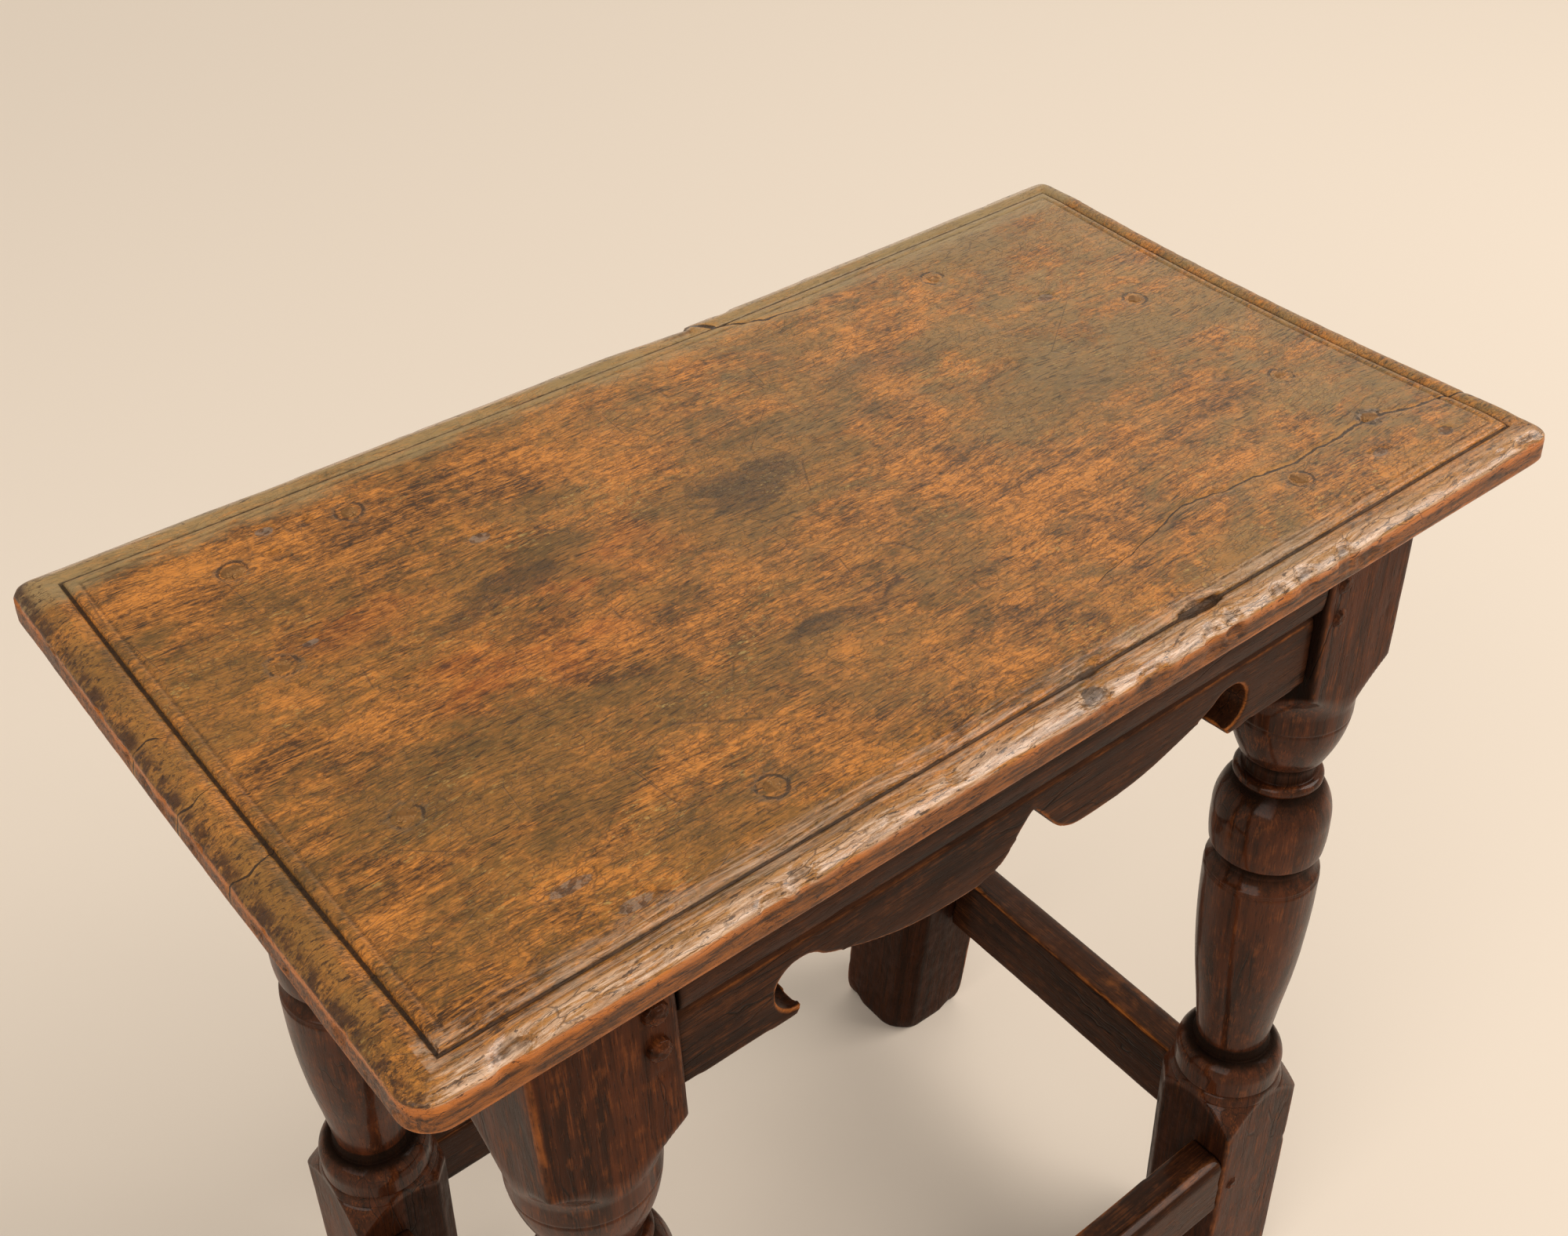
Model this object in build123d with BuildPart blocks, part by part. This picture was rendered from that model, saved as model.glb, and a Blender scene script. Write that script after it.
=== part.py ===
from build123d import *

import os
from dataclasses import dataclass
from math import cos, radians, sin, sqrt, tan

os.makedirs("parts", exist_ok=True)

# Oak joint stool: a thumb-moulded plank pegged down on four turned legs that splay to the
# front and back, joined by shaped aprons at the top and by plain stretchers above the feet.
# Every rail enters its leg by a tenon, and octagonal pegs are driven through the tenons.
#
# Millimetres. +Z is up, +X runs along the seat, and -Y is the front. The origin is on the
# floor under the middle of the seat. "Drop" is a distance below the board's underside.

# --- Overall sizes ---------------------------------------------------------------------
stool_height = 495.0
top_length = 456.7
top_width = 248.8
top_thickness = 23.0
rake = 4.06                # splay of the legs to the front and back, in degrees

# --- Plank top -------------------------------------------------------------------------
# Board's edges past the legs' faces at the top of the frame.
overhangs = {"left": 38.35, "right": 38.35, "front": 21.0, "back": 19.8}
back_bend = 35.0           # right of this point the back edge runs out of parallel
back_flare = 4.8           # by this much at the right end
top_corners = {"front_left": 14.0, "front_right": 8.0, "back_right": 12.0, "back_left": 12.0}
top_arris = 5.0
under_bevel = 7.5          # bevel under the overhang, in from the edge
under_bevel_rise = 10.0
# Moulded noses outside the groove.
noses = {"left": 10.5, "right": 7.2, "front": 8.6, "back": 7.1}
groove_depth = 2.0
groove_slope_run = 3.0     # width of the groove's sloping outer side
groove_width = 4.6
line_offset = 3.5          # fine scribed line inside the groove
line_width = 0.9
line_depth = 0.4

# --- Legs ------------------------------------------------------------------------------
leg_size = 49.0
leg_arris = 1.5            # worn rounding of the square's corners
upper_block = 71.6         # square part under the board
foot_block = 142.7         # square part above the floor
stop_chamfer = 9.0         # chamfer on the foot block's corner nearest the stool's middle
foot_wear = 1.2

# Turned part between the blocks, from the top down: cuts below the stock's round, and
# runs along the leg.
stock_allowance = 0.2
shoulder_swell = 3.9       # square-to-round shoulder, above the round ...
shoulder_swell_drop = 7.9  # ... at this distance below the block
shoulder_run = 18.3
drum_run = 8.8
cup_belly_cut = 2.3
cup_cut = 6.3
cup_run = 21.2
fillet_run = 1.1
neck_cut = 9.2
neck_run = 9.2
astragal_ends_cut = 8.0
astragal_cut = 5.9
astragal_bevel_run = 1.5
astragal_run = 5.2
bulb_head_cut = 2.2
bulb_head_run = 7.9
bulb_belly_run = 19.7
bulb_lip_cut = 0.7
bulb_run = 35.8
cove_step_run = 1.3
cove_cut = 4.5
cove_belly_cut = 3.7
cove_run = 12.5
collar_run = 2.4
waist_cut = 7.7            # thin lower end of the baluster shaft
shaft_tapers = 5
ring_cut = 6.7
ring_bevel_run = 2.9
ring_run = 4.8
torus_cut = 5.0
torus_belly_cut = 1.3
torus_belly_run = 3.8
torus_run = 9.6
band_run = 8.2
flare_rise = 1.6
flare_run = 5.0
cone_run = 13.9

# --- Joints ----------------------------------------------------------------------------
tenon_inset = 10.4         # outer face of the leg to the tenon's cheek
tenon_thickness = 8.2
tenon_web = 5.4            # wood left between the two mortises of a corner
cheek_fit = 0.05
mortise_end_fit = 1.5
peg_diameter = 8.3
peg_fit = 0.05
peg_setback = 8.5          # rail shoulder to the pegs
peg_web = 3.3              # wood left between the pegs of a corner
peg_end_fit = 1.0
peg_bevel = 0.8
peg_proud = {"left": 2.6, "right": 0.9}

# --- Aprons ----------------------------------------------------------------------------
apron_drop = 63.0          # lower edge at the shoulders
apron_thickness = 23.0     # leg face to the apron's back
apron_haunch = 13.0        # shoulder above the tenon
apron_lower_shoulder = 6.0
apron_peg_drops = (21.5, 36.0)
band_setback = 0.5         # flat band under the board, behind the leg faces
band_drop = 13.0
ovolo_step = 1.1
ovolo_drop = 29.2
fillet_setback = 2.4
fillet_height = 1.3
hollow_setback = 5.2
field_setback = 4.0        # sunk field below the moulding
field_drop = 34.8
notch_drop = 51.6          # centre of the round notch beside each bracket
notch_radius = 9.7
notch_end = 37.0           # angle round the notch, above level, where the lobe begins
hook_width = 2.0
hook_rise = 1.5            # bracket's lower edge, higher at the hook's tip
lobe_drop = 60.3
lobe_hollow = 0.8          # share of the lobe's reach where its ogee turns down ...
lobe_swell = 0.55          # ... and where it swells out again
lobe_swell_rise = 3.5
lobe_turn = 0.66           # inside the lobe's lowest part, as shares of its distance
lobe_turn_rise = 1.8       # from the middle
cusp_foot = 0.36
cusp_foot_rise = 8.6
cusp_drop = 41.0           # point at the middle of the lower edge
long_bracket = 45.0        # shoulder to the centre of the notch
end_bracket = 19.5
long_lobe = 24.0           # middle to the lowest part of the lobe
end_lobe = 13.0

# --- Stretchers ------------------------------------------------------------------------
stretcher_level = 130.5    # top edge above the floor
stretcher_shoulder = 4.0   # shoulders above and below the tenon
stretcher_peg_drop = 23.5
long_stretcher_height = 36.5
long_stretcher_thickness = 18.5
long_stretcher_setback = 0.5
end_stretcher_height = 40.5
end_stretcher_thickness = 21.0
end_stretcher_setback = 1.5
stretcher_round = 6.0      # worn outer top edge

# --- Pegs through the top: (along the rail from its shoulder, in from the leg faces) -----
top_peg_diameter = 9.0
top_peg_depth = 12.0       # below the board
front_top_pegs = {"left": (42.3, 11.6), "right": (9.0, 15.6)}
back_top_pegs = {"left": (14.0, 12.0), "right": (12.7, 13.6)}
left_top_pegs = {"front": (15.9, 9.5), "back": (17.9, 12.0)}
right_top_pegs = {"front": (14.4, 8.6), "back": (22.9, 8.2)}
leg_top_pegs = {"back_left": (20.0, 18.0), "front_right": (7.4, 25.2)}

# --- Worked out from the sizes above -----------------------------------------------------
frame_top = stool_height - top_thickness
frame_length = top_length - overhangs["left"] - overhangs["right"]
frame_depth = top_width - overhangs["front"] - overhangs["back"]
lean = radians(rake)
leg_length = frame_top / cos(lean)
leg_half = leg_size / 2
axis_x = frame_length / 2 - leg_half
axis_y = frame_depth / 2 - leg_half / cos(lean)
long_shoulder = frame_length / 2 - leg_size
end_shoulder = frame_depth / 2 - leg_size / cos(lean)
tenon_length = leg_size - tenon_inset - tenon_thickness - tenon_web
peg_length = leg_size - peg_setback - peg_diameter / 2 - peg_web
stretcher_drop = frame_top - stretcher_level
overrun = 20.0             # stock left past a cut, trimmed away later

sides = {"front": -1, "back": 1}
ends = {"left": -1, "right": 1}


def long_face(side):
    """Raked plane of the legs' front or back faces, its Y axis up the face."""
    return Plane(
        origin=(0, side * frame_depth / 2, frame_top),
        x_dir=(-side, 0, 0),
        z_dir=(0, side * cos(lean), sin(lean)),
    )


def end_face(end):
    """Upright plane of the legs' left or right faces, its Y axis up."""
    return Plane(
        origin=(end * frame_length / 2, 0, frame_top),
        x_dir=(0, end, 0),
        z_dir=(end, 0, 0),
    )


def across(face):
    """Plane that cuts a face's rail square across: X outward, Y up the face."""
    return Plane(origin=face.origin, x_dir=face.z_dir, z_dir=-face.x_dir)


@dataclass
class Joint:
    """Where one rail's tenon and pegs lie on its face, for the end at positive X."""

    shoulder: float
    tenon_top: float
    tenon_bottom: float
    peg_drops: tuple

    @property
    def tenon_end(self):
        return self.shoulder + tenon_length

    @property
    def peg_along(self):
        return self.shoulder + peg_setback


def slope_at(drop):
    """How far the end rails' shoulders have moved outward at a drop."""
    return drop * tan(lean)


long_apron_joint = Joint(
    shoulder=long_shoulder,
    tenon_top=apron_haunch,
    tenon_bottom=apron_drop - apron_lower_shoulder,
    peg_drops=apron_peg_drops,
)
long_stretcher_joint = Joint(
    shoulder=long_shoulder,
    tenon_top=stretcher_drop / cos(lean) + stretcher_shoulder,
    tenon_bottom=stretcher_drop / cos(lean) + long_stretcher_height - stretcher_shoulder,
    peg_drops=(stretcher_drop / cos(lean) + stretcher_peg_drop,),
)
end_apron_joint = Joint(
    shoulder=end_shoulder + slope_at(sum(apron_peg_drops) / 2),
    tenon_top=apron_haunch,
    tenon_bottom=apron_drop - apron_lower_shoulder,
    peg_drops=apron_peg_drops,
)
end_stretcher_joint = Joint(
    shoulder=end_shoulder + slope_at(stretcher_drop + stretcher_peg_drop),
    tenon_top=stretcher_drop + stretcher_shoulder,
    tenon_bottom=stretcher_drop + end_stretcher_height - stretcher_shoulder,
    peg_drops=(stretcher_drop + stretcher_peg_drop,),
)


def tenon(face, joint, hand):
    """Add a rail's tenon at one end of its face."""
    start = joint.shoulder - overrun / 2
    with BuildSketch(face.offset(-tenon_inset)) as cheek:
        with Locations((hand * (start + joint.tenon_end) / 2, -(joint.tenon_top + joint.tenon_bottom) / 2)):
            Rectangle(joint.tenon_end - start, joint.tenon_bottom - joint.tenon_top)
    extrude(cheek.sketch, amount=-tenon_thickness)


def mortise(face, joint, hand):
    """Cut the tenon's mortise into a leg, with the fit on every side."""
    start = joint.shoulder - overrun / 2
    bottom = joint.tenon_end + mortise_end_fit
    height = joint.tenon_bottom - joint.tenon_top + 2 * cheek_fit
    with BuildSketch(face.offset(cheek_fit - tenon_inset)) as mouth:
        with Locations((hand * (start + bottom) / 2, -(joint.tenon_top + joint.tenon_bottom) / 2)):
            Rectangle(bottom - start, height)
    extrude(mouth.sketch, amount=-(tenon_thickness + 2 * cheek_fit), mode=Mode.SUBTRACT)


def peg_spots(joint, hand):
    """Centres of a joint's pegs on its face."""
    return [(hand * joint.peg_along, -drop) for drop in joint.peg_drops]


def peg_holes(face, joint, hand):
    """Bore a joint's round peg holes from the face inward."""
    with BuildSketch(face) as mouths:
        with Locations(*peg_spots(joint, hand)):
            Circle(peg_diameter / 2 + peg_fit)
    extrude(mouths.sketch, amount=-(peg_length + peg_end_fit), mode=Mode.SUBTRACT)


def drive_pegs(face, joint, hand, proud):
    """Add a joint's whittled pegs, eight-sided, with bevelled heads left proud."""
    with BuildSketch(face.offset(proud - peg_bevel)) as shanks:
        with Locations(*peg_spots(joint, hand)):
            RegularPolygon(peg_diameter / 2, 8)
    extrude(shanks.sketch, amount=-(peg_length + proud - peg_bevel))
    extrude(shanks.sketch, amount=peg_bevel, taper=40)


def apron_section(plane):
    """Moulded section of an apron: band, ovolo, fillet, hollow and sunk field."""
    with BuildSketch(plane) as section:
        with BuildLine():
            Polyline(
                (-band_setback - ovolo_step, -band_drop),
                (-band_setback, -band_drop),
                (-band_setback, overrun),
                (-apron_thickness, overrun),
                (-apron_thickness, -apron_drop - overrun),
                (-field_setback, -apron_drop - overrun),
                (-field_setback, -field_drop),
            )
            ThreePointArc(
                (-field_setback, -field_drop),
                (-hollow_setback, -(ovolo_drop + fillet_height + field_drop) / 2),
                (-fillet_setback, -ovolo_drop - fillet_height),
            )
            Polyline(
                (-fillet_setback, -ovolo_drop - fillet_height),
                (-fillet_setback, -ovolo_drop),
                (-band_setback - ovolo_step, -ovolo_drop),
            )
            ThreePointArc(
                (-band_setback - ovolo_step, -ovolo_drop),
                (-band_setback, -(band_drop + ovolo_drop) / 2),
                (-band_setback - ovolo_step, -band_drop),
            )
        make_face()
    return section.sketch


def apron_outline(plane, shoulder, slope, bracket, lobe):
    """Face outline of an apron: brackets with round notches, and an ogee lobe each side
    of a central point. The shoulders lean outward by the slope."""
    notch = shoulder + slope * notch_drop - bracket
    hook = (notch, -notch_drop - notch_radius)
    leave = radians(notch_end)
    lobe_start = (notch - notch_radius * cos(leave), -notch_drop + notch_radius * sin(leave))
    lobe_reach = lobe_start[0] - lobe
    lobe_turned = (lobe * cusp_foot, -lobe_drop + cusp_foot_rise)
    with BuildSketch(plane) as outline:
        with BuildLine():
            Polyline(
                (0, overrun),
                (shoulder - slope * overrun, overrun),
                (shoulder + slope * apron_drop, -apron_drop),
                (notch + hook_width, -apron_drop - hook_rise),
                hook,
            )
            ThreePointArc(hook, (notch + notch_radius, -notch_drop), lobe_start)
            Spline(
                lobe_start,
                (lobe + lobe_reach * lobe_hollow, -notch_drop),
                (lobe + lobe_reach * lobe_swell, -lobe_drop + lobe_swell_rise),
                (lobe, -lobe_drop),
                tangents=[(-cos(leave), -sin(leave)), (-1, 0)],
            )
            ThreePointArc((lobe, -lobe_drop), (lobe * lobe_turn, -lobe_drop + lobe_turn_rise), lobe_turned)
            Line(lobe_turned, (0, -cusp_drop))
            mirror(about=Plane.YZ)
        make_face()
    return outline.sketch


def stretcher_section(plane, drop, height, thickness, setback):
    """Section of a stretcher: its outer top edge is worn round."""
    with BuildSketch(plane) as section:
        with Locations((-setback - thickness / 2, -drop - height / 2)):
            Rectangle(thickness, height)
        upper_corners = section.vertices().group_by(Axis.Y)[-1]
        fillet(upper_corners.sort_by(Axis.X)[-1], stretcher_round)
    return section.sketch


def stretcher_outline(plane, shoulder, slope, drop, height):
    """Face outline of a stretcher between its shoulders."""
    top = drop - overrun
    bottom = drop + height + overrun
    upper_end = shoulder + slope * top
    lower_end = shoulder + slope * bottom
    with BuildSketch(plane) as outline:
        with BuildLine():
            Polyline(
                (-upper_end, -top),
                (upper_end, -top),
                (lower_end, -bottom),
                (-lower_end, -bottom),
                close=True,
            )
        make_face()
    return outline.sketch


# --- Plank top -------------------------------------------------------------------------
def top_peg_spots():
    """Plan positions of the pegs through the board, grouped by what they enter."""
    spots = {}
    for side, pegs in (("front", front_top_pegs), ("back", back_top_pegs)):
        spots["apron_" + side] = [
            (ends[end] * (long_shoulder - along), sides[side] * (frame_depth / 2 - inset))
            for end, (along, inset) in pegs.items()
        ]
    for end, pegs in (("left", left_top_pegs), ("right", right_top_pegs)):
        spots["apron_" + end] = [
            (ends[end] * (frame_length / 2 - inset), sides[side] * (end_shoulder - along))
            for side, (along, inset) in pegs.items()
        ]
    spots["legs"] = [
        (
            ends[leg.split("_")[1]] * (frame_length / 2 - from_end),
            sides[leg.split("_")[0]] * (frame_depth / 2 - from_side),
        )
        for leg, (from_end, from_side) in leg_top_pegs.items()
    ]
    return spots


top_pegs = top_peg_spots()


def top_peg_holes(group):
    """Bore one group's holes down from the top of the board."""
    with BuildSketch(Plane.XY.offset(stool_height)) as mouths:
        with Locations(*top_pegs[group]):
            Circle(top_peg_diameter / 2 + peg_fit)
    depth = top_thickness + top_peg_depth + peg_end_fit
    extrude(mouths.sketch, amount=-depth, mode=Mode.SUBTRACT)


def board_corners(inset=None):
    """Corners of the board in plan by name, or of an outline the inset inside its noses."""
    margins = {edge: 0 if inset is None else width + inset for edge, width in noses.items()}
    left = margins["left"] - frame_length / 2 - overhangs["left"]
    right = frame_length / 2 + overhangs["right"] - margins["right"]
    front = margins["front"] - frame_depth / 2 - overhangs["front"]
    back = frame_depth / 2 + overhangs["back"] - margins["back"]
    return {
        "front_left": (left, front),
        "front_right": (right, front),
        "back_right": (right, back + back_flare),
        "back_bend": (back_bend, back),
        "back_left": (left, back),
    }


def board_outline(level, inset):
    """Mitred outline inside the noses, at a level."""
    with BuildSketch(Plane.XY.offset(level)) as outline:
        with BuildLine():
            Polyline(*board_corners(inset).values(), close=True)
        make_face()
    return outline.sketch


with BuildPart() as top_board:
    with BuildSketch(Plane.XY.offset(frame_top)) as plan:
        with BuildLine():
            Polyline(*board_corners().values(), close=True)
        make_face()
        for name, rounding in top_corners.items():
            fillet(plan.vertices().sort_by_distance(board_corners()[name])[0], rounding)
    extrude(amount=top_thickness)
    fillet(top_board.faces().sort_by(Axis.Z)[-1].edges(), top_arris)
    underside = top_board.faces().sort_by(Axis.Z)[0]
    chamfer(underside.edges(), length=under_bevel, length2=under_bevel_rise, reference=underside)

    # The groove: its outer side slopes, its inner side is cut square.
    groove_floor = stool_height - groove_depth
    groove_mouth = board_outline(stool_height, 0)
    slope_foot = board_outline(groove_floor, groove_slope_run)
    loft([slope_foot, groove_mouth], mode=Mode.SUBTRACT)
    extrude(board_outline(groove_floor, groove_width), amount=groove_depth)

    # The fine line scribed inside the groove.
    line_floor = stool_height - line_depth
    line_inset = groove_width + line_offset
    extrude(board_outline(line_floor, line_inset), amount=line_depth, mode=Mode.SUBTRACT)
    extrude(board_outline(line_floor, line_inset + line_width), amount=line_depth)

    for group in top_pegs:
        top_peg_holes(group)

top_board.part.label = "top_board"
export_step(top_board.part, "parts/top_board.step")


# --- Legs ------------------------------------------------------------------------------
def lathe_outline(plane):
    """Half outline of a leg on its axis: blocks, shoulders and mouldings, from the top down.
    The blocks stay clear of the square stock, so that only the turned part is cut round."""
    stock = leg_half - stock_allowance
    clear = leg_half * sqrt(2) + stock_allowance
    drum = -upper_block - shoulder_run
    cup = drum - drum_run
    cup_foot = cup - cup_run
    neck = cup_foot - fillet_run
    astragal = neck - neck_run
    bulb = astragal - astragal_run
    cove = bulb - bulb_run
    collar = cove - cove_run
    shaft = collar - collar_run
    foot = foot_block - leg_length
    cone = foot + cone_run
    flare = cone + flare_run
    torus = flare + band_run + torus_run
    ring = torus + ring_run
    # The shaft thins toward its foot with the square of the distance from the collar.
    shares = [taper / shaft_tapers for taper in range(shaft_tapers + 1)]
    shaft_line = [(stock - waist_cut * share**2, shaft + (ring - shaft) * share) for share in shares]
    with BuildSketch(plane) as outline:
        with BuildLine():
            Polyline((0, overrun), (clear, overrun), (clear, -upper_block))
            ThreePointArc(
                (clear, -upper_block),
                (stock + shoulder_swell, -upper_block - shoulder_swell_drop),
                (stock, drum),
            )
            Line((stock, drum), (stock, cup))
            ThreePointArc(
                (stock, cup),
                (stock - cup_belly_cut, cup - cup_run / 2),
                (stock - cup_cut, cup_foot),
            )
            Polyline(
                (stock - cup_cut, cup_foot),
                (stock - cup_cut, neck),
                (stock - neck_cut, neck),
                (stock - neck_cut, astragal),
                (stock - astragal_ends_cut, astragal),
                (stock - astragal_cut, astragal - astragal_bevel_run),
                (stock - astragal_cut, bulb + astragal_bevel_run),
                (stock - astragal_ends_cut, bulb),
            )
            ThreePointArc(
                (stock - astragal_ends_cut, bulb),
                (stock - bulb_head_cut, bulb - bulb_head_run),
                (stock, bulb - bulb_belly_run),
            )
            Polyline(
                (stock, bulb - bulb_belly_run),
                (stock - bulb_lip_cut, cove),
                (stock - cove_cut, cove - cove_step_run),
            )
            ThreePointArc(
                (stock - cove_cut, cove - cove_step_run),
                (stock - cove_belly_cut, cove - cove_run / 2),
                (stock, collar),
            )
            Polyline(
                (stock, collar),
                *shaft_line,
                (stock - ring_cut, ring - ring_bevel_run),
                (stock - ring_cut, torus),
                (stock - torus_cut, torus),
            )
            ThreePointArc(
                (stock - torus_cut, torus),
                (stock - torus_belly_cut, torus - torus_belly_run),
                (stock, torus - torus_run),
            )
            Polyline(
                (stock, torus - torus_run),
                (stock, flare),
                (stock + flare_rise, cone),
                (clear, foot),
                (clear, -leg_length - overrun),
                (0, -leg_length - overrun),
                (0, overrun),
            )
        make_face()
    return outline.sketch


for side, side_sign in sides.items():
    for end, end_sign in ends.items():
        head = (end_sign * axis_x, side_sign * axis_y, frame_top)
        down = (0, side_sign * sin(lean), -cos(lean))
        stock_plane = Plane(origin=head, x_dir=(1, 0, 0), z_dir=down)
        lathe_plane = Plane(origin=head, x_dir=(1, 0, 0), z_dir=(0, -cos(lean), -side_sign * sin(lean)))
        long_hand = -side_sign * end_sign
        end_hand = side_sign * end_sign

        with BuildPart() as leg:
            with BuildSketch(stock_plane.offset(-overrun)):
                RectangleRounded(leg_size, leg_size, leg_arris)
            extrude(amount=leg_length + 2 * overrun)
            revolve(lathe_outline(lathe_plane), axis=Axis(head, down), mode=Mode.INTERSECT)

            # Chamfer on the foot block's inner corner.
            with BuildSketch(stock_plane.offset(leg_length - foot_block - overrun)):
                with Locations((-end_sign * leg_half, side_sign * leg_half)):
                    Rectangle(stop_chamfer * sqrt(2), stop_chamfer * sqrt(2), rotation=45)
            extrude(amount=foot_block + 2 * overrun, mode=Mode.SUBTRACT)

            # The raked leg is cut level under the board and on the floor.
            split(bisect_by=Plane.XY.offset(frame_top), keep=Keep.BOTTOM)
            split(bisect_by=Plane.XY, keep=Keep.TOP)
            sole = leg.faces().sort_by(Axis.Z)[0]
            chamfer(sole.edges(), length=foot_wear)

            for joint in (long_apron_joint, long_stretcher_joint):
                mortise(long_face(side_sign), joint, long_hand)
                peg_holes(long_face(side_sign), joint, long_hand)
            for joint in (end_apron_joint, end_stretcher_joint):
                mortise(end_face(end_sign), joint, end_hand)
                peg_holes(end_face(end_sign), joint, end_hand)
            if side + "_" + end in leg_top_pegs:
                top_peg_holes("legs")

        leg.part.label = "leg_" + side + "_" + end
        export_step(leg.part, "parts/leg_" + side + "_" + end + ".step")


# --- Aprons and stretchers -------------------------------------------------------------
@dataclass
class Frame:
    """One face of the frame: its plane, the shoulders' slope and what its rails need."""

    name: str
    plane: Plane
    shoulder: float
    slope: float
    bracket: float
    lobe: float
    apron_joint: Joint
    stretcher_joint: Joint
    stretcher_drop: float
    stretcher_height: float
    stretcher_thickness: float
    stretcher_setback: float


frames = [
    Frame(
        name=side,
        plane=long_face(side_sign),
        shoulder=long_shoulder,
        slope=0.0,
        bracket=long_bracket,
        lobe=long_lobe,
        apron_joint=long_apron_joint,
        stretcher_joint=long_stretcher_joint,
        stretcher_drop=stretcher_drop / cos(lean),
        stretcher_height=long_stretcher_height,
        stretcher_thickness=long_stretcher_thickness,
        stretcher_setback=long_stretcher_setback,
    )
    for side, side_sign in sides.items()
]
frames += [
    Frame(
        name=end,
        plane=end_face(end_sign),
        shoulder=end_shoulder,
        slope=tan(lean),
        bracket=end_bracket,
        lobe=end_lobe,
        apron_joint=end_apron_joint,
        stretcher_joint=end_stretcher_joint,
        stretcher_drop=stretcher_drop,
        stretcher_height=end_stretcher_height,
        stretcher_thickness=end_stretcher_thickness,
        stretcher_setback=end_stretcher_setback,
    )
    for end, end_sign in ends.items()
]

for frame in frames:
    section_plane = across(frame.plane)
    reach = frame.shoulder + frame.slope * frame_top

    with BuildPart() as apron:
        extrude(apron_section(section_plane), amount=reach, both=True)
        outline = apron_outline(frame.plane, frame.shoulder, frame.slope, frame.bracket, frame.lobe)
        extrude(outline, amount=-2 * apron_thickness, mode=Mode.INTERSECT)
        split(bisect_by=Plane.XY.offset(frame_top), keep=Keep.BOTTOM)
        for hand in (-1, 1):
            tenon(frame.plane, frame.apron_joint, hand)
            peg_holes(frame.plane, frame.apron_joint, hand)
        top_peg_holes("apron_" + frame.name)
    apron.part.label = "apron_" + frame.name
    export_step(apron.part, "parts/apron_" + frame.name + ".step")

    with BuildPart() as stretcher:
        section = stretcher_section(
            section_plane,
            frame.stretcher_drop,
            frame.stretcher_height,
            frame.stretcher_thickness,
            frame.stretcher_setback,
        )
        extrude(section, amount=reach, both=True)
        outline = stretcher_outline(
            frame.plane,
            frame.shoulder,
            frame.slope,
            frame.stretcher_drop,
            frame.stretcher_height,
        )
        extrude(outline, amount=-2 * frame.stretcher_thickness, mode=Mode.INTERSECT)
        for hand in (-1, 1):
            tenon(frame.plane, frame.stretcher_joint, hand)
            peg_holes(frame.plane, frame.stretcher_joint, hand)
    stretcher.part.label = "stretcher_" + frame.name
    export_step(stretcher.part, "parts/stretcher_" + frame.name + ".step")


# --- Pegs ------------------------------------------------------------------------------
def hand_of(name, other):
    """Which way along a face's own X axis the named leg lies."""
    if name in sides:
        return -sides[name] * ends[other]
    return ends[name] * sides[other]


for frame in frames:
    for other in ends if frame.name in sides else sides:
        proud = peg_proud[other if other in ends else frame.name]
        hand = hand_of(frame.name, other)
        joints = {"pegs_apron_": frame.apron_joint, "peg_stretcher_": frame.stretcher_joint}
        for prefix, joint in joints.items():
            with BuildPart() as pegs:
                drive_pegs(frame.plane, joint, hand, proud)
            pegs.part.label = prefix + frame.name + "_" + other
            export_step(pegs.part, "parts/" + pegs.part.label + ".step")

for group, spots in top_pegs.items():
    with BuildPart() as pegs:
        with BuildSketch(Plane.XY.offset(stool_height)):
            with Locations(*spots):
                RegularPolygon(top_peg_diameter / 2, 8)
        extrude(amount=-(top_thickness + top_peg_depth))
    pegs.part.label = "pegs_top_" + group
    export_step(pegs.part, "parts/" + pegs.part.label + ".step")
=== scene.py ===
import logging
import math
from dataclasses import dataclass
from enum import Enum
from itertools import product
from typing import Any, Mapping, Sequence, Union

import bmesh
import bpy
import numpy as np
from mathutils import Matrix, Vector
from mathutils.bvhtree import BVHTree


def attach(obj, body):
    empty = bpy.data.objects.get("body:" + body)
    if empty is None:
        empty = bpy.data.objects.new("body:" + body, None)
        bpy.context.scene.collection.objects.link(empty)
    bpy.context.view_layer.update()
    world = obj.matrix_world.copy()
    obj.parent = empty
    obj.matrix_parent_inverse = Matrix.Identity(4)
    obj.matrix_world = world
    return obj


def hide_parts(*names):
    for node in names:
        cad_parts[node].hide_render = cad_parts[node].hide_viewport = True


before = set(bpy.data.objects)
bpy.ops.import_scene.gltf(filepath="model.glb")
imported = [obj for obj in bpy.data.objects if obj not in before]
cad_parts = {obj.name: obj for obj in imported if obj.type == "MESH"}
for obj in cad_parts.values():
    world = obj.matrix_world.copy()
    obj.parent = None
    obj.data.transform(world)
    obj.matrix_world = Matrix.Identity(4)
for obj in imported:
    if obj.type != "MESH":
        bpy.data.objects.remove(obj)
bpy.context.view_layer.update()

# Oak joint stool. Everything below is in millimetres in the frame's own axes and is turned to
# metres as a mesh is made. "Drop" is measured down a leg's axis from the top of the frame. The
# gaps keep the visual legs just inside the exact ones.

MM = 0.001
FRAME_TOP = 472.0
SEAT_TOP = 495.0
LEAN = math.radians(4.06)
LEG_HALF = 24.5
LEG_AXIS = (165.5, 79.44)
HEAD_GAP = 0.02
SOLE_GAP = 0.05
LONG_SHOULDER = 141.0
END_SHOULDER = 54.88

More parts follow.
